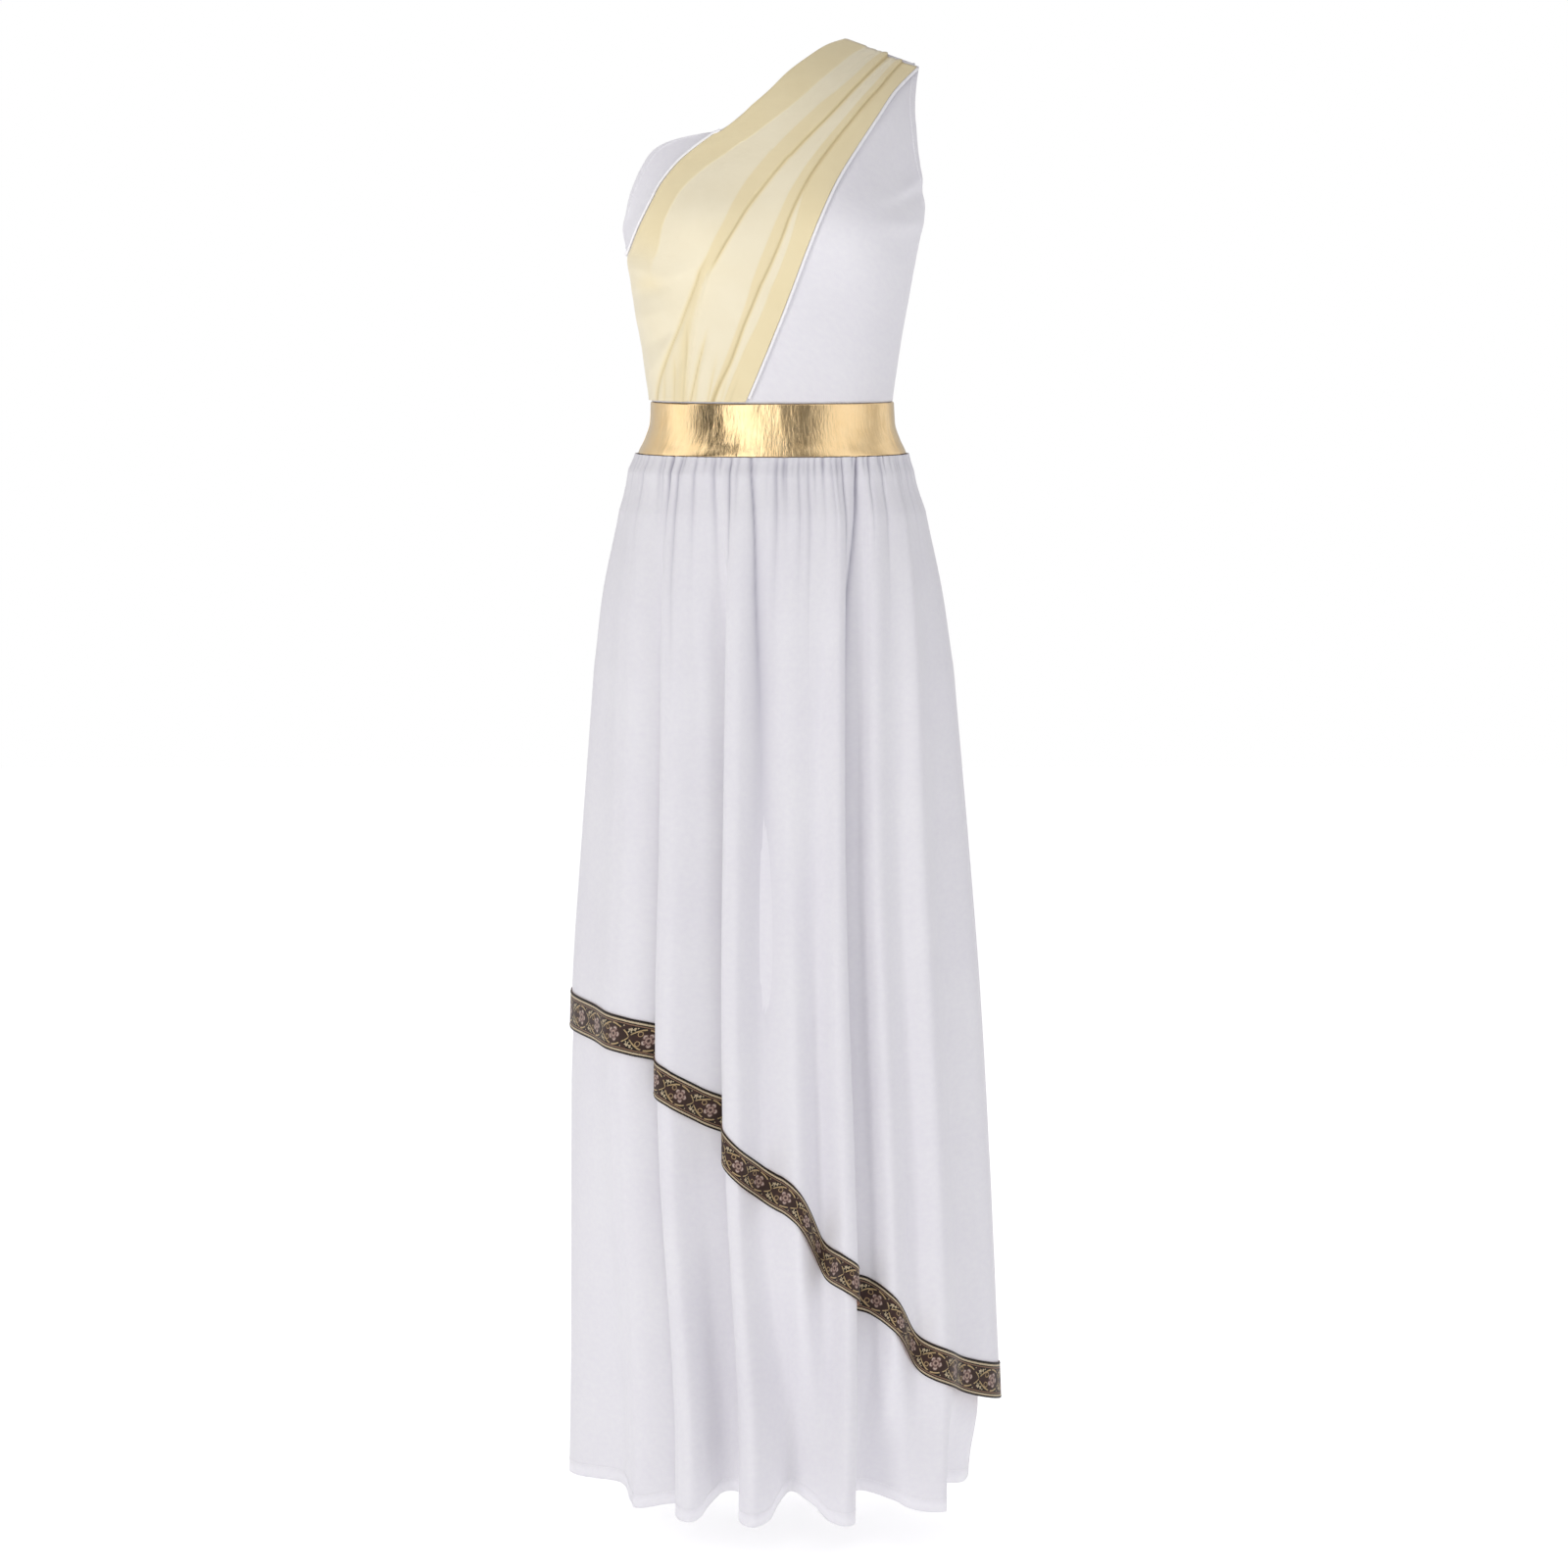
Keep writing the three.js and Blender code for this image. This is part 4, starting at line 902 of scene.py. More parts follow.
def jacquard():
    material, tree = new_material("woven_jacquard_ribbon")
    uv = add(tree, "ShaderNodeUVMap", uv_map="cloth").outputs["UV"]
    # Threads step aside a little, so no line of the pattern is drawn quite straight
    waver = add(tree, "ShaderNodeTexNoise", {"Vector": uv, "Scale": 1 / 1.6, "Detail": 1})
    moved = add(tree, "ShaderNodeVectorMath", {0: waver.outputs["Color"], 1: (0.5, 0.5, 0), 2: uv},
                operation="MULTIPLY_ADD")
    split = add(tree, "ShaderNodeSeparateXYZ", {"Vector": moved.outputs[0]})
    made = {"u": split.outputs["X"], "v": split.outputs["Y"]}
    for name, operation, *values in RIBBON_STEPS:
        inputs = {i: made.get(value, value) for i, value in enumerate(values)}
        made[name] = add(tree, "ShaderNodeMath", inputs, operation=operation).outputs[0]
    look = add(tree, "ShaderNodeMix", {"Factor": 0, 6: colour(GROUND), 7: colour(GROUND)}, data_type="RGBA")
    for name, hex_value in RIBBON_LAYERS:
        look = add(tree, "ShaderNodeMix", {"Factor": made[name], 6: look.outputs[2], 7: colour(hex_value)},
                   data_type="RGBA")
    lines = add(tree, "ShaderNodeValToRGB", {"Fac": made["edge_place"]})
    lines.color_ramp.interpolation = "CONSTANT"
    for i, (place, hex_value) in enumerate(EDGE_LINES):
        stop = lines.color_ramp.elements[i] if i < 2 else lines.color_ramp.elements.new(place)
        stop.position = place
        stop.color = colour(hex_value)
    face = add(tree, "ShaderNodeMix", {"Factor": made["border"], 6: look.outputs[2],
                                       7: lines.outputs["Color"]}, data_type="RGBA")
    # Weft ribs cross the ribbon, drawn twice as coarse as the real ones
    ribs = add(tree, "ShaderNodeTexWave", {"Vector": uv, "Scale": ONE_BAND / RIB_MM, "Distortion": 1.5,
                                           "Detail": 1}, bands_direction="X")
    threads = add(tree, "ShaderNodeTexNoise", {"Vector": uv, "Scale": 1 / 0.7, "Detail": 2})
    shade = add(tree, "ShaderNodeMath", {0: ribs.outputs["Fac"], 1: threads.outputs["Fac"]},
                operation="MULTIPLY")
    dark = add(tree, "ShaderNodeMapRange", {"Value": shade.outputs[0], "From Max": 0.6, "To Min": 0.45,
                                            "To Max": 1.1})
    woven = add(tree, "ShaderNodeMix", {"Factor": 1, 6: face.outputs[2], 7: dark.outputs[0]},
                data_type="RGBA", blend_type="MULTIPLY")
    # The reverse shows the floats of the gold and pink weft as a plain tan
    reverse = add(tree, "ShaderNodeMix", {"Factor": threads.outputs["Fac"], 6: colour(0x9C7157),
                                          7: colour(0xBC9278)}, data_type="RGBA")
    inside = add(tree, "ShaderNodeAttribute", attribute_name="inside")
    both = add(tree, "ShaderNodeMix", {"Factor": inside.outputs["Fac"], 6: woven.outputs[2],
                                       7: reverse.outputs[2]}, data_type="RGBA")
    raised = add(tree, "ShaderNodeMath", {0: made["petals"], 1: made["scroll"]}, operation="MAXIMUM")
    relief = add(tree, "ShaderNodeMath", {0: raised.outputs[0], 1: shade.outputs[0]}, operation="ADD")
    bump = add(tree, "ShaderNodeBump", {"Height": relief.outputs[0], "Strength": 0.4, "Distance": 0.0004})
    gloss = add(tree, "ShaderNodeMapRange", {"Value": raised.outputs[0], "To Min": 0.72, "To Max": 0.5})
    finish_with(tree, add(tree, "ShaderNodeBsdfPrincipled", {
        "Base Color": both.outputs[2], "Roughness": gloss.outputs[0], "Sheen Weight": 0.15,
        "Specular IOR Level": 0.35, "Normal": bump.outputs["Normal"]}))
    return material


jacquard_ribbon = jacquard()
print("ribbon finish:", len(jacquard_ribbon.node_tree.nodes), "nodes")

# %% [markdown]
# ## Ribbon on the hem
# The ribbon lies on the cloth and follows every fold of it, tucks too. Woven ribbon doesn't shear, so
# its pattern stays square to its own edge: the UV map is turned by the slope of the hem at each place.

# %% Ribbon pieces
RIBBON = 0.7
ON_CLOTH = 0.5
RIBBON_ROWS = 22
RIBBON_PER_ROW = 18
SLOPE_REACH = 20                    # points on each side over which the hem's slope is averaged


def ribbon_surface(start, end):
    s = np.linspace(start, end, (end - start) * RIBBON_PER_ROW + 1)[None, :]
    up = np.linspace(RIBBON_HEIGHT, 0, RIBBON_ROWS)[:, None]
    s = np.broadcast_to(s, (RIBBON_ROWS, s.shape[1]))
    z = fold("hem", s) + up
    points, normal = overskirt_surface(s, z)
    points = points + normal * (ON_CLOTH + RIBBON)
    foot = points[-1]
    run = run_length(foot)
    slope = np.clip(np.gradient(foot[:, 2]) / np.maximum(np.gradient(run), 1e-6), -0.95, 0.95)
    window = 2 * SLOPE_REACH + 1
    smooth = np.convolve(np.pad(slope, SLOPE_REACH, mode="edge"), np.ones(window) / window, mode="valid")
    v = np.broadcast_to(up / RIBBON_HEIGHT * RIBBON_MM, z.shape)
    return points, np.stack([run + up * smooth, v], -1)


for half, (start, end) in HALVES.items():
    points, uv = ribbon_surface(start, end)
    dress(shell(f"ribbon_{half}", points, RIBBON, uv), jacquard_ribbon,
                       f"trim_{half}")

# %% [markdown]
# ## Drape
# A light cream panel is caught in the shoulder seam and the waist seam. Its pleats fan out between
# the two: where the cloth lies double it looks deeper in colour, and where it is single the white
# bodice shines through. So each point carries its number of layers as an attribute, which the finish
# reads, and the creases are real relief beside those bands. The same attribute also carries painted
# shade: a tan along the creases and waist gathers, and a pool of deeper cream under the bust's pull.

# %% Drape pleats
DRAPE_NECK_EDGE = np.array([
    (69, 0), (50, -7), (32, -19), (14, -33), (-4, -51), (-25, -69), (-48, -87), (-56, -91), (-83, -112),
    (-101, -133), (-111, -151), (-122, -172), (-131, -193), (-135, -205), (-131, -234), (-126.5, -259),
    (-122, -285), (-117.8, -312), (-114.5, -336)], float)
DRAPE_FRONT_EDGE = np.array([
    (138, -26), (115, -49), (98, -74), (79, -103), (62, -131), (47, -163), (31, -202), (12, -252),
    (-7, -299), (-22.5, -336)], float)
DRAPE_LIFT = 2.6                    # outer face of the drape to the bodice under it
DRAPE_CLOTH = 0.7
# A crease's painted shade is stored as this many layers, which the chiffon turns into a tan
CREASE_SHADE_LAYERS = 2.0                   # layers that a crease counts as
DRAPE_GRID = (160, 180)
PIPING_ROOM = 1.7                   # left bare along an edge for its rolled edge
NECK_PIPING = (0.34, 0.68)          # share of the neck edge that has one

# Places across the drape, from its neck edge (0) to its front edge (1), down its length.
# The neck band ends at neck_band; bust_from to bust_to, long_from to long_to and front_band to the
# front edge are double.
PLEATS = table("down neck_band bust_from bust_to long_from long_to front_band", [
    (0.00, .29, .50, .565, .71, .765, .79), (0.05, .31, .525, .605, .745, .795, .81),
    (0.10, .32, .54, .62, .765, .82, .835), (0.15, .31, .515, .612, .753, .803, .82),
    (0.20, .285, .465, .597, .739, .79, .805), (0.30, .24, .44, .573, .728, .784, .80),
    (0.40, .21, .452, .568, .738, .793, .81), (0.45, .18, .456, .563, .742, .80, .835),
    (0.50, .15, .458, .547, .75, .805, .858), (0.55, .135, .457, .53, .75, .812, .874),
    (0.60, .142, .45, .514, .751, .813, .88), (0.65, .17, .448, .498, .753, .807, .88),
    (0.70, .17, .44, .482, .755, .795, .872), (0.75, .17, .402, .456, .746, .778, .863),
    (0.80, .17, .352, .428, .73, .757, .846), (0.85, .17, .29, .405, .71, .741, .82),
    (0.90, .17, .22, .39, .685, .718, .80), (0.95, .17, .14, .38, .652, .675, .778),
    (1.00, .17, .09, .375, .628, .64, .762)])
# Small gathers at the waist seam: where each starts, where it meets the seam, and its depth
WAIST_FAN = table("start high low depth", [
    (.88, .21, .17, 0.9), (.86, .284, .275, 1.2), (.79, .386, .371, 1.3), (.80, .535, .43, 1.9),
    (.89, .49, .475, 0.8), (.86, .621, .605, 1.2), (.90, .69, .665, 0.8), (.90, .739, .73, 0.9),
    (.91, .84, .825, 0.7)])
SHOULDER_FAN = table("high low depth", [
    (.33, .40, 0.8), (.44, .48, 1.0), (.50, .52, 1.0), (.62, .63, 1.1), (.70, .69, 1.0), (.84, .84, 0.6)])
# Soft pulls under the bust at the right side
DRAPE_PULLS = table("x z length width turn height", [
    (-118, -214, 22, 7, -20, 1.8), (-108, -232, 26, 6, 18, -1.9), (-88, -222, 20, 9, 40, 1.4),
    (-112, -256, 28, 8, 15, 1.6), (-100, -276, 26, 6, 30, -1.4), (-104, -298, 24, 6, 55, 1.2),
    (-84, -300, 30, 5, 66, -1.0), (-60, -296, 34, 5, 68, 0.8)])
# The two long pleats: height of the crest, and the distance over which it rises
LONG_PLEATS = {"bust_to": (1.5, 13), "long_to": (1.3, 10)}
print("drape:", len(LONG_PLEATS), "long pleats,", len(WAIST_FAN["depth"]), "gathers at the waist and",
      len(SHOULDER_FAN["depth"]), "at the shoulder")


# %% Curves of the drape
def on_path(path, t):
    """Point on a smooth curve through a path, at a share of its length."""
    fine = np.linspace(0, len(path) - 1, 12 * (len(path) - 1) + 1)
    curve = np.stack([along(path[:, 0], fine), along(path[:, 1], fine)], -1)
    length = run_length(curve)
    return [np.interp(t * length[-1], length, values) for values in curve.T]


def torso_normal(degrees, z, x):
    """Outward direction of the torso, read a little lower near the shoulder seam."""
    return outward(torso_point, degrees, np.minimum(z, shoulder_z(x) - 5), 1)


def pleat(name, down):
    place = np.interp(down, PLEATS["down"], np.arange(len(PLEATS["down"])))
    return along(PLEATS[name], place)


def crease(away, height, run, drop=2.4):
    """A pleat's crest: a slow rise up to it, a quick fall past it and a soft recovery."""
    fall = ease(away / drop)
    rise = np.exp(np.minimum(away, 0) / run)
    return height * (rise * (1 - fall) - 0.45 * fall * np.exp(-np.maximum(away - drop, 0) / run))


# %% Drape surface
def drape_surface():
    down = np.linspace(0.004, 1, DRAPE_GRID[0])[:, None]
    neck_x, neck_z = on_path(DRAPE_NECK_EDGE, down)
    front_x, front_z = on_path(DRAPE_FRONT_EDGE, down)
    width = np.hypot(neck_x - front_x, neck_z - front_z)
    piped = ease((down - NECK_PIPING[0] + 0.09) / 0.04) * ease((NECK_PIPING[1] + 0.09 - down) / 0.04)
    start, end = mix(SEAM_GAP, PIPING_ROOM, piped) / width, 1 - PIPING_ROOM / width
    # Columns are spread evenly round the torso, and each row is straight as seen from the front
    t = spread_evenly(DRAPE_GRID[1], 0.4)[None, :]
    turned = mix(torso_angle(neck_x, neck_z), torso_angle(front_x, front_z), t)
    x_round = torso_point(turned, mix(neck_z, front_z, t))[..., 0]
    across = mix(start, end, np.clip((x_round - neck_x) / (front_x - neck_x), 0, 1))
    z = mix(neck_z, front_z, across)
    degrees = torso_angle(mix(neck_x, front_x, across), z)
    points = torso_point(degrees, z)
    normal = torso_normal(degrees, z, points[..., 0])
    mm_from = lambda name: (across - pleat(name, down)) * width
    tight = 1 + 0.9 * np.exp(-down / 0.16) + 0.5 * ease((down - 0.8) / 0.2)
    relief = sum(crease(mm_from(name), height * tight, run) for name, (height, run) in LONG_PLEATS.items())
    relief += 0.55 * (1 - ease(mm_from("neck_band") / 1.5 + 0.5)) * (1 - ease((down - 0.66) / 0.1))
    relief += 0.5 * ease(mm_from("front_band") / 1.5 + 0.5)
    relief -= 0.9 * np.exp(-(mm_from("bust_from") / 3.2) ** 2) * ease((down - 0.6) / 0.15)
    relief -= 0.7 * np.exp(-(mm_from("long_from") / 2.6) ** 2) * ease((0.55 - down) / 0.2)
    # Painted shade along the waist gathers and the fine creases, stored with the layers
    painted_crease_shade = np.zeros_like(across)
    for begin, high, low, depth in zip(*WAIST_FAN.values()):
        away = (across - mix(high, low, (down - begin) / (1 - begin))) * width
        reach = ease((down - begin) / 0.09)
        relief -= depth * np.exp(-np.abs(away) / 1.7) * reach
        painted_crease_shade += 0.5 * depth * np.exp(-np.abs(away) / 1.3) * reach
    # Each long pleat ends in a fine deep crease, in relief and as painted shade along it
    fine = np.exp(-((mm_from("bust_to") - 1.6) / 1.7) ** 2) * ease((0.72 - down) / 0.1)
    fine += np.exp(-((mm_from("long_to") - 1.6) / 1.7) ** 2)
    fine += 0.8 * np.exp(-(mm_from("bust_from") / 1.5) ** 2) * ease((down - 0.62) / 0.08)
    relief -= 1.2 * fine
    painted_crease_shade += fine
    for high, low, depth in zip(*SHOULDER_FAN.values()):
        away = (across - mix(high, low, ease(down / 0.3))) * width
        relief -= depth * np.exp(-np.abs(away) / 1.8) * ease((0.28 - down) / 0.26)
    relief += soft_pulls(DRAPE_PULLS, points[..., 0], z)
    rim = np.minimum(across - start, end - across) * width
    relief *= ease(rim / 3 + 0.15)
    banded = lambda name: ease(mm_from(name) / 1.6 + 0.5)
    layers_and_painted_shade = (1 - banded("neck_band")) * (1 - ease((down - 0.62) / 0.12))
    loose = ease((down - 0.66) / 0.1)
    layers_and_painted_shade += banded("bust_from") * (1 - banded("bust_to")) * (1 - 0.7 * loose)
    layers_and_painted_shade += 0.6 * loose * np.exp(-((mm_from("bust_to") + 4) / 5) ** 2)
    # Painted shade: a pool of deeper cream under the bust's pull at the right side
    layers_and_painted_shade += 0.6 * np.exp(-((points[..., 0] + 114) / 13) ** 2 - ((z + 227) / 9) ** 2)
    layers_and_painted_shade += banded("long_from") * (1 - banded("long_to")) + banded("front_band")
    points = points + normal * (DRAPE_LIFT + np.maximum(relief, -1.2))[..., None]
    return points, mix(np.clip(layers_and_painted_shade, 0, 1), CREASE_SHADE_LAYERS, np.clip(painted_crease_shade, 0, 1))


drape_points, drape_layers_and_painted_shade = drape_surface()
print("drape stands", round(float(-drape_points[..., 1].min())), "mm in front of the axis")

# %% [markdown]
# ## Chiffon
# Chiffon is a sheer plain weave of tightly twisted thread, matt with a fine grainy bloom. One layer
# lets the white of the bodice through and two look deeper cream. The finish mixes the two creams by
# the layers that each point carries, so no see-through cloth is needed. The same attribute brings
# painted shade: a tan along the creases and a deeper cream in a pool under the bust.

# %% Drape cloth
def chiffon():
    material, tree = new_material("polyester_chiffon_cream")
    uv = add(tree, "ShaderNodeUVMap", uv_map="cloth").outputs["UV"]
    layers_and_painted_shade = add(tree, "ShaderNodeAttribute", attribute_name="layers_and_painted_shade")
    cloudy = add(tree, "ShaderNodeTexNoise", {"Vector": uv, "Scale": 1 / 30, "Detail": 3})
    single, double = (
        add(tree, "ShaderNodeMix", {"Factor": cloudy.outputs["Fac"], 6: colour(dark), 7: colour(light)},
            data_type="RGBA") for dark, light in ((0xF2E7C8, 0xF7EED3), (0xEEDEB3, 0xF3E5BD)))
    flat = add(tree, "ShaderNodeMix", {"Factor": layers_and_painted_shade.outputs["Fac"], 6: single.outputs[2],
                                       7: double.outputs[2]}, data_type="RGBA")
    # Above one, the cream darkens to a tan: painted shade along a crease
    crease_shade_amount = add(tree, "ShaderNodeMath", {0: layers_and_painted_shade.outputs["Fac"], 1: 1}, operation="SUBTRACT")
    tint = add(tree, "ShaderNodeMix", {"Factor": crease_shade_amount.outputs[0], 6: flat.outputs[2], 7: colour(0xD6C497)},
               data_type="RGBA")
    # Plain weave, drawn at 1 mm where real chiffon has about 3 threads in a millimetre
    warp, weft = (add(tree, "ShaderNodeTexWave", {"Vector": uv, "Scale": ONE_BAND, "Distortion": 0.8},
                      bands_direction=across) for across in "XY")
    weave = add(tree, "ShaderNodeMath", {0: warp.outputs["Fac"], 1: weft.outputs["Fac"]},
                operation="MULTIPLY")
    bump = add(tree, "ShaderNodeBump", {"Height": weave.outputs[0], "Strength": 0.12, "Distance": 0.0003})
    soft = add(tree, "ShaderNodeBump", {"Height": cloudy.outputs["Fac"], "Strength": 0.3, "Distance": 0.003,
                                        "Normal": bump.outputs["Normal"]})
    rough = add(tree, "ShaderNodeMapRange", {"Value": weave.outputs[0], "To Min": 0.72, "To Max": 0.64})
    finish_with(tree, add(tree, "ShaderNodeBsdfPrincipled", {
        "Base Color": tint.outputs[2], "Roughness": rough.outputs[0], "Sheen Weight": 0.35,
        "Sheen Roughness": 0.4, "Specular IOR Level": 0.3, "Normal": soft.outputs["Normal"]}))
    return material


cream_chiffon = chiffon()
drape = dress(shell("drape_cloth", drape_points, DRAPE_CLOTH, values={"layers_and_painted_shade": drape_layers_and_painted_shade}),
              cream_chiffon, "drape")

# %% [markdown]
# ## Rolled edges of the drape
# The drape's edges are finished with a narrow rolled edge in white, which stands up as a fine cord.
# It is a small round section carried along each edge. Its jersey is painted whiter than the bodice's:
# a painted highlight that keeps the cord bright in the shade beside the drape.

# %% Pipings
FRONT_PIPING = (0.01, 0.99)         # share of the front edge that has one
PIPING_POINTS = 220
PIPING_SIDES = 10
PIPING_LIFT = 2.5
PIPING_RADIUS = 1.4
# Painted highlight: the binding is whiter than the bodice's jersey
binding_jersey_painted_light = jersey("polyester_jersey_binding_painted_light", 0xFDFCFD, 0xF8F7FA, 0.7, 0.3)


def tube(name, middle, normal, radius):
    forward = unit(np.gradient(middle, axis=0))
    side = unit(np.cross(forward, normal))
    up = np.cross(side, forward)
    angles = np.linspace(0, 2 * np.pi, PIPING_SIDES, endpoint=False)
    ring = side[:, None] * np.cos(angles)[None, :, None] + up[:, None] * np.sin(angles)[None, :, None]
    points = middle[:, None] + ring * radius
    count, sides = points.shape[:2]
    corners = np.arange(count * sides).reshape(count, sides)
    after = np.roll(corners, -1, axis=1)
    walls = np.stack([corners[:-1], after[:-1], after[1:], corners[1:]], -1).reshape(-1, 4).tolist()
    ends = [corners[0, ::-1].tolist(), corners[-1].tolist()]
    length = run_length(middle)
    uv = np.stack(np.broadcast_arrays(angles * radius, -length[:, None]), -1)
    piece = new_cloth(name, points.reshape(-1, 3), walls + ends, uv.reshape(-1, 2))
    print(name, len(walls) * 2, "triangles,", round(length[-1]), "mm long")
    return piece


def piping(name, path, span, node):
    x, z = on_path(path, np.linspace(*span, PIPING_POINTS))
    degrees = torso_angle(x, z)
    normal = torso_normal(degrees, z, x)
    middle = torso_point(degrees, z) + normal * PIPING_LIFT
    return dress(tube(name, middle, normal, PIPING_RADIUS), binding_jersey_painted_light, node)


piping("rolled_edge_neck", DRAPE_NECK_EDGE, NECK_PIPING, "drape_piping_neck")
piping("rolled_edge_front", DRAPE_FRONT_EDGE, FRONT_PIPING, "drape_piping_front")

# %% [markdown]
# ## Stitches
# Straight stitches hold the ribbon along both of its edges, the turned hem of the underskirt and the
# turned edges of the bodice. One node tree lays a short length of thread at even steps along any seam
# line. Real stitches are about 3 mm long. Here they are 3.4 mm with the gap between them.

# %% Stitch tree
STITCH_INPUTS = {"Step": 0.0034, "Length": 0.0023, "Thread radius": 0.00028}


def stitch_tree():
    tree = bpy.data.node_groups.new("stitches_along_a_seam", "GeometryNodeTree")
    tree.interface.new_socket("Geometry", in_out="INPUT", socket_type="NodeSocketGeometry")
    for name, value in STITCH_INPUTS.items():
        size = tree.interface.new_socket(name, in_out="INPUT", socket_type="NodeSocketFloat")
        size.default_value = value
    tree.interface.new_socket("Thread", in_out="INPUT", socket_type="NodeSocketMaterial")
    tree.interface.new_socket("Geometry", in_out="OUTPUT", socket_type="NodeSocketGeometry")
    given = add(tree, "NodeGroupInput").outputs
    seam = add(tree, "GeometryNodeMeshToCurve", {"Mesh": given["Geometry"]})
    steps = add(tree, "GeometryNodeCurveToPoints", {"Curve": seam.outputs[0], "Length": given["Step"]},
                mode="LENGTH")
    thread = add(tree, "GeometryNodeMeshCylinder", {"Vertices": 6, "Radius": given["Thread radius"],
                                                    "Depth": given["Length"]})
    turn = add(tree, "FunctionNodeAlignRotationToVector", {"Vector": steps.outputs["Tangent"]}, axis="Z")
    laid = add(tree, "GeometryNodeInstanceOnPoints", {"Points": steps.outputs["Points"],
                                                      "Instance": thread.outputs["Mesh"],
                                                      "Rotation": turn.outputs[0]})
    real = add(tree, "GeometryNodeRealizeInstances", {"Geometry": laid.outputs[0]})
    painted = add(tree, "GeometryNodeSetMaterial", {"Geometry": real.outputs[0],
                                                    "Material": given["Thread"]})
    add(tree, "NodeGroupOutput", {"Geometry": painted.outputs[0]})
    return tree


def polyester_thread(name, hex_value):
    material, tree = new_material(name)
    place = add(tree, "ShaderNodeTexCoord").outputs["Object"]
    uneven = add(tree, "ShaderNodeTexNoise", {"Vector": place, "Scale": 900, "Detail": 2})
    rough = add(tree, "ShaderNodeMapRange", {"Value": uneven.outputs["Fac"], "To Min": 0.5, "To Max": 0.66})
    finish_with(tree, add(tree, "ShaderNodeBsdfPrincipled", {
        "Base Color": colour(hex_value), "Roughness": rough.outputs[0], "Sheen Weight": 0.2}))
    return material


stitches_along = stitch_tree()
white_thread = polyester_thread("polyester_thread_white", 0xF4F3F6)
brown_thread = polyester_thread("polyester_thread_brown", 0x3A281C)
print("stitch tree:", len(stitches_along.nodes), "nodes")

# %% Seam lines
THREAD_LIFT = 0.1


def lifted(points):
    """Seam lines a little above a grid of points, one for each row."""
    return points + grid_normals(points) * THREAD_LIFT


def along_edge(points, inset, from_right, rows):
    """The line at a distance inside a piece's side edge, over some of its rows."""
    raised = lifted(points)[rows]
    raised = raised if from_right else raised[:, ::-1]
    runs = run_length(raised, 1)
    return np.array([[np.interp(inset, run, values) for values in row.T] for run, row in zip(runs, raised)])


def stitch(name, lines, thread):
    ends = np.cumsum([len(one) for one in lines])
    edges = [(i, i + 1) for i in range(ends[-1] - 1) if i + 1 not in ends]
    mesh = bpy.data.meshes.new(name)
    mesh.from_pydata(to_frame(np.concatenate(lines)).tolist(), edges, [])
    piece = new_object(name, mesh)
    laid = piece.modifiers.new("stitches", "NODES")
    laid.node_group = stitches_along
    for item in stitches_along.interface.items_tree:
        if item.in_out == "INPUT" and item.name != "Geometry":
            laid[item.identifier] = thread if item.name == "Thread" else STITCH_INPUTS[item.name]
    bpy.context.view_layer.update()
    seen = piece.evaluated_get(bpy.context.evaluated_depsgraph_get())
    done = bpy.data.meshes.new_from_object(seen)
    piece.modifiers.clear()
    piece.data = done
    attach(piece, "root")
    print(name, sum(len(face.vertices) - 2 for face in done.polygons), "triangles")


ribbon_lines, hem_lines = [], []
for half, (start, end) in HALVES.items():
    rows = lifted(ribbon_surface(start, end)[0])
    ribbon_lines += [rows[1], rows[-2]]
    s = np.linspace(start, end, (end - start) * 14 + 1)[None, :]
    z = floor_hem(s) + FLOOR_HEM_TURN + np.array([[1.0], [-2.0]])
    hem_lines.append(lifted(underskirt_surface(np.broadcast_to(s, z.shape), z))[1])
STITCHES_IN = TURNED_HEM - 1.2
NECK_ROWS = slice(4, 60)
ARMHOLE_ROWS = slice(4, 54)
bodice_lines = [along_edge(bodice_points["front"], STITCHES_IN, True, NECK_ROWS),
                along_edge(bodice_points["front"], STITCHES_IN, False, ARMHOLE_ROWS),
                along_edge(bodice_points["back"], STITCHES_IN, True, ARMHOLE_ROWS),
                along_edge(bodice_points["back"], STITCHES_IN, False, NECK_ROWS)]
stitch("stitches_ribbon", ribbon_lines, brown_thread)
stitch("stitches_hem", hem_lines, white_thread)
stitch("stitches_bodice", bodice_lines, white_thread)

# %% [markdown]
# ## Studio
# The photo is a cut-out on pure white with very soft light from the front left. A white world gives
# most of the light, a large soft lamp at the front left models the folds, and a pale floor lies a
# little below the hem, because the dress hangs from the shoulder.

# %% World light
# Brightness of the mirrored cards, by degrees from the front towards the left arm's side
CARDS = [(-180, 0.3), (-130, 0.4), (-110, 0.45), (-79, 0.72), (-58, 0.5), (-50, 0.1), (-36, 0.02),
         (-28, 0.9), (-12, 1.0), (-4, 0.7), (3, 0.28), (9, 0.12), (20, 0.12), (32, 0.42), (50, 0.6),
         (75, 0.52), (101, 0.34), (120, 0.5), (150, 0.3), (180, 0.3)]
CARD_POWER = 1.9
DIM_LIGHT = 0.21
SKY_LIGHT = 0.46

bpy.context.scene.view_settings.view_transform = "Standard"

world = bpy.data.worlds.new("studio")
bpy.context.scene.world = world
world.use_nodes = True
world.node_tree.nodes.clear()
sky = world.node_tree
seen = add(sky, "ShaderNodeBackground", {"Color": colour(0xFFFFFF), "Strength": 1.0})
direction = add(sky, "ShaderNodeTexCoord").outputs["Generated"]
split = add(sky, "ShaderNodeSeparateXYZ", {"Vector": direction})
# Dimmer low down and behind, so that metal has something dark to mirror
height = add(sky, "ShaderNodeMapRange", {"Value": split.outputs["Z"], "From Min": -0.6, "From Max": 0.7,
                                         "To Min": DIM_LIGHT, "To Max": SKY_LIGHT})
lit = add(sky, "ShaderNodeBackground", {"Color": colour(0xFBFAFF), "Strength": height.outputs[0]})
path = add(sky, "ShaderNodeLightPath")
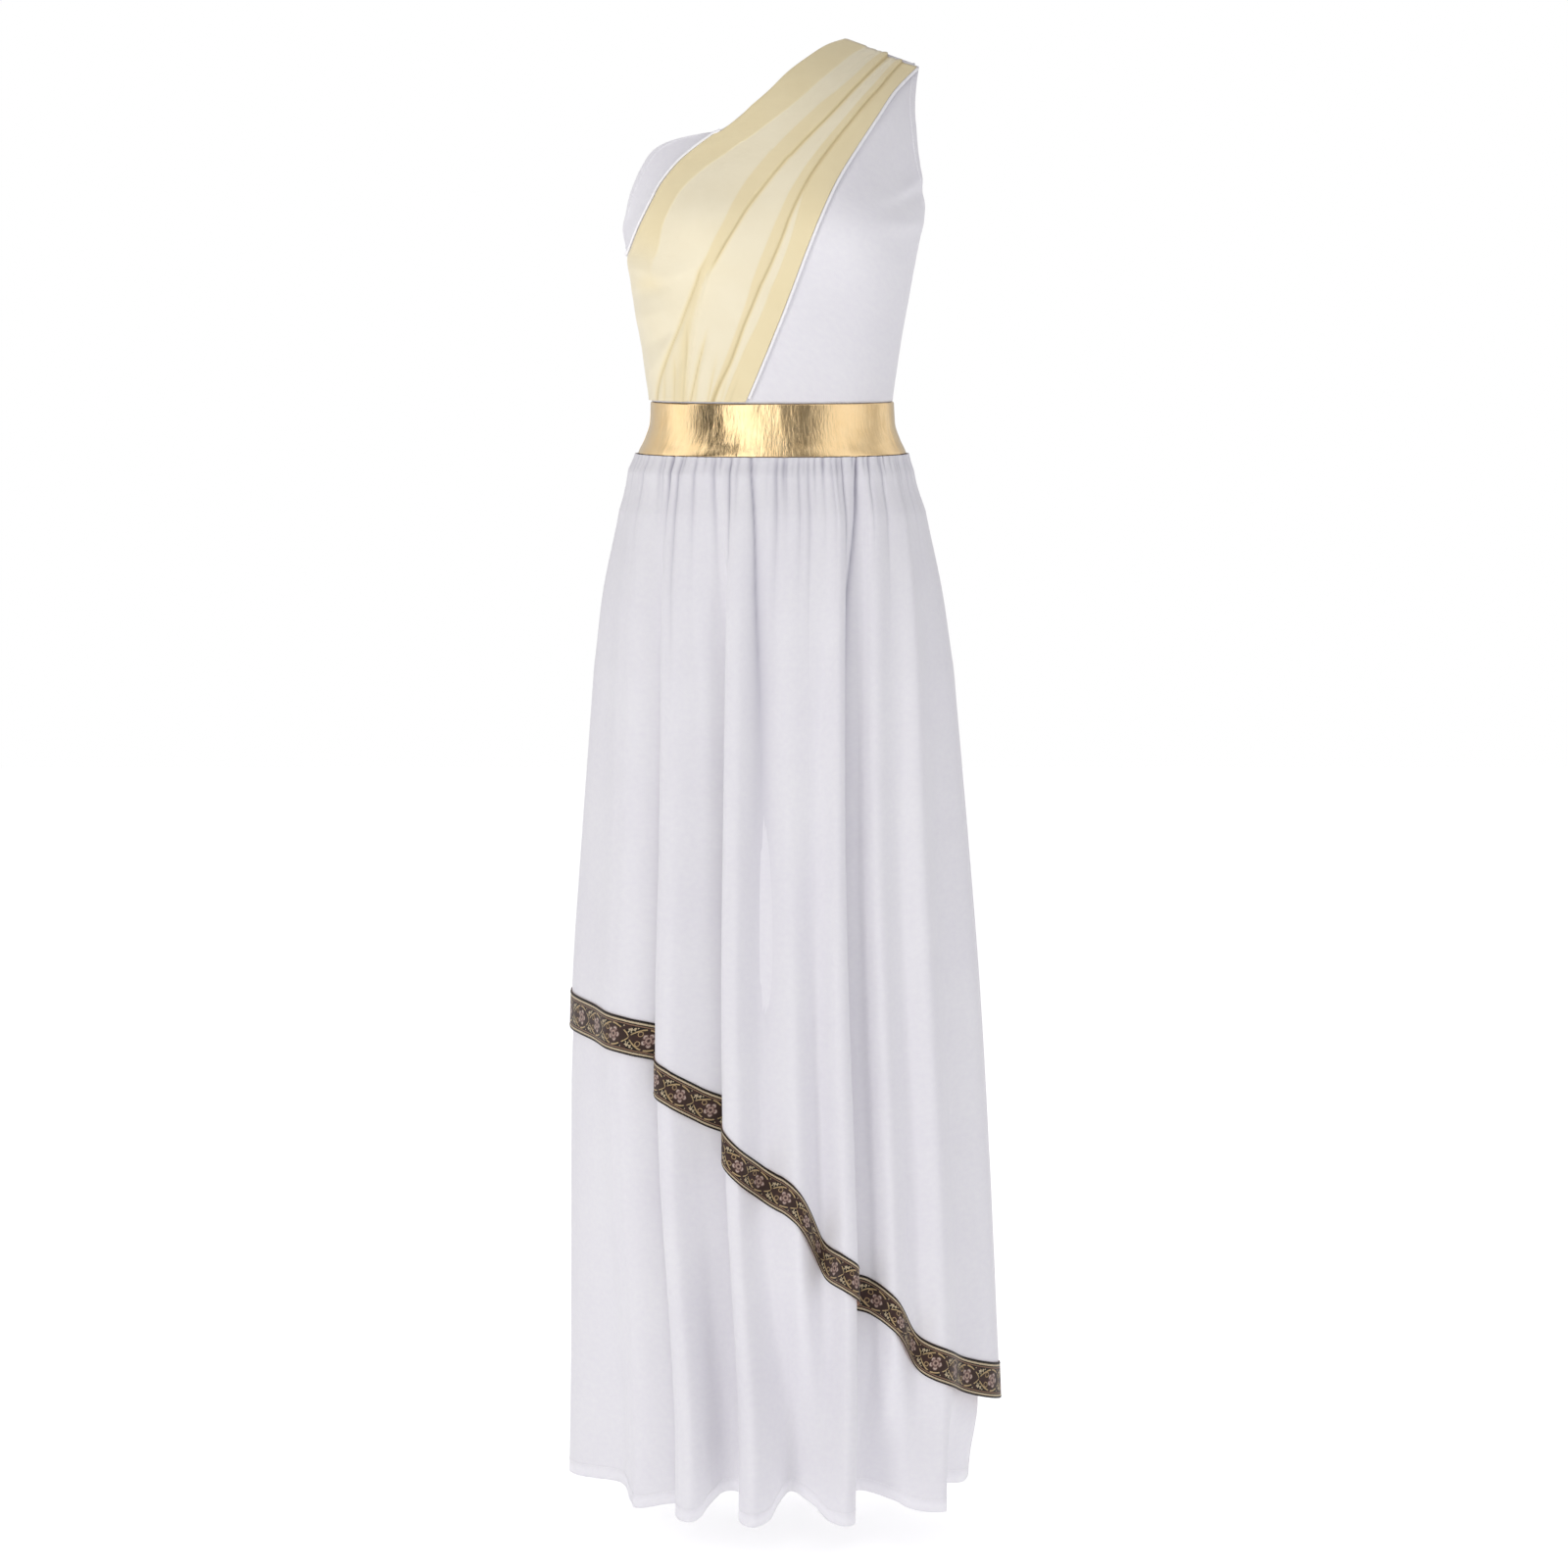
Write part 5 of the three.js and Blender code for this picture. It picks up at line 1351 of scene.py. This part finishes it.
# What polished things mirror: tall white cards with darker gaps between them, all round the studio
towards = add(sky, "ShaderNodeMath", {0: split.outputs["Y"], 1: -1.0}, operation="MULTIPLY")
turned = add(sky, "ShaderNodeMath", {0: split.outputs["X"], 1: towards.outputs[0]}, operation="ARCTAN2")
place = add(sky, "ShaderNodeMapRange", {"Value": turned.outputs[0], "From Min": -math.pi,
                                        "From Max": math.pi})
cards = add(sky, "ShaderNodeFloatCurve", {"Value": place.outputs[0]})
curve = cards.mapping.curves[0]
for i, (degrees, bright) in enumerate(CARDS):
    point = curve.points[i] if i < 2 else curve.points.new(0, 0)
    point.location = ((degrees + 180) / 360, bright)
cards.mapping.update()
bright = add(sky, "ShaderNodeMath", {0: cards.outputs[0], 1: CARD_POWER}, operation="MULTIPLY")
mirrored = add(sky, "ShaderNodeBackground", {"Color": colour(0xFFFDF8), "Strength": bright.outputs[0]})
chosen = lit
for ray, light in (("Is Glossy Ray", mirrored), ("Is Camera Ray", seen)):
    chosen = add(sky, "ShaderNodeMixShader", {0: path.outputs[ray], 1: chosen.outputs[0],
                                              2: light.outputs[0]})
add(sky, "ShaderNodeOutputWorld", {"Surface": chosen.outputs[0]})
print("mirrored cards:", len(CARDS), "places round the studio")


# %% Lamps
def soft_lamp(name, place, target, size, power, hex_value):
    light = bpy.data.lights.new(name, "AREA")
    light.shape = "RECTANGLE"
    light.size, light.size_y = size
    light.energy = power
    light.color = colour(hex_value)[:3]
    lamp = new_object(name, light)
    lamp.location = place
    lamp.visible_glossy = False
    aim = np.array(target) - np.array(place)
    tilt = math.acos(-aim[2] / np.linalg.norm(aim))
    lamp.rotation_euler = (tilt, 0, math.atan2(aim[1], aim[0]) - math.pi / 2)


MIDDLE = (-0.1, 0, -0.65)
soft_lamp("key", (-2.2, -2.7, 0.3), MIDDLE, (0.8, 1.6), 21, 0xFFFDFB)
soft_lamp("fill", (2.2, -2.0, -0.6), MIDDLE, (0.8, 1.8), 5.5, 0xFCFBFF)
soft_lamp("top", (-0.5, -1.7, 1.2), (0, 0, -0.1), (1.2, 0.8), 4.5, 0xFFFEFC)
soft_lamp("back", (0.4, 2.6, 0.6), MIDDLE, (1.6, 1.2), 9, 0xFFFFFF)
print("lamps:", len(bpy.data.lights))

# %% Floor
FLOOR_DROP = 0.045
FLOOR_HALF = 7
FLOOR_GLOW = 0.62
floor_z = CAD_BOX[0][2] - FLOOR_DROP
corners = [(-1, -1), (1, -1), (1, 1), (-1, 1)]
floor_mesh = bpy.data.meshes.new("floor")
floor_mesh.from_pydata([(x * FLOOR_HALF, y * FLOOR_HALF, floor_z) for x, y in corners], [], [(0, 1, 2, 3)])
floor = new_object("floor", floor_mesh)
floor_paint, tree = new_material("pale_studio_floor")
finish_with(tree, add(tree, "ShaderNodeBsdfPrincipled", {
    "Base Color": colour(0xFDFDFD), "Roughness": 0.9, "Emission Color": colour(0xFFFFFF),
    "Emission Strength": FLOOR_GLOW}))
floor.data.materials.append(floor_paint)
print("floor", round(FLOOR_DROP * 1000), "mm below the hem")
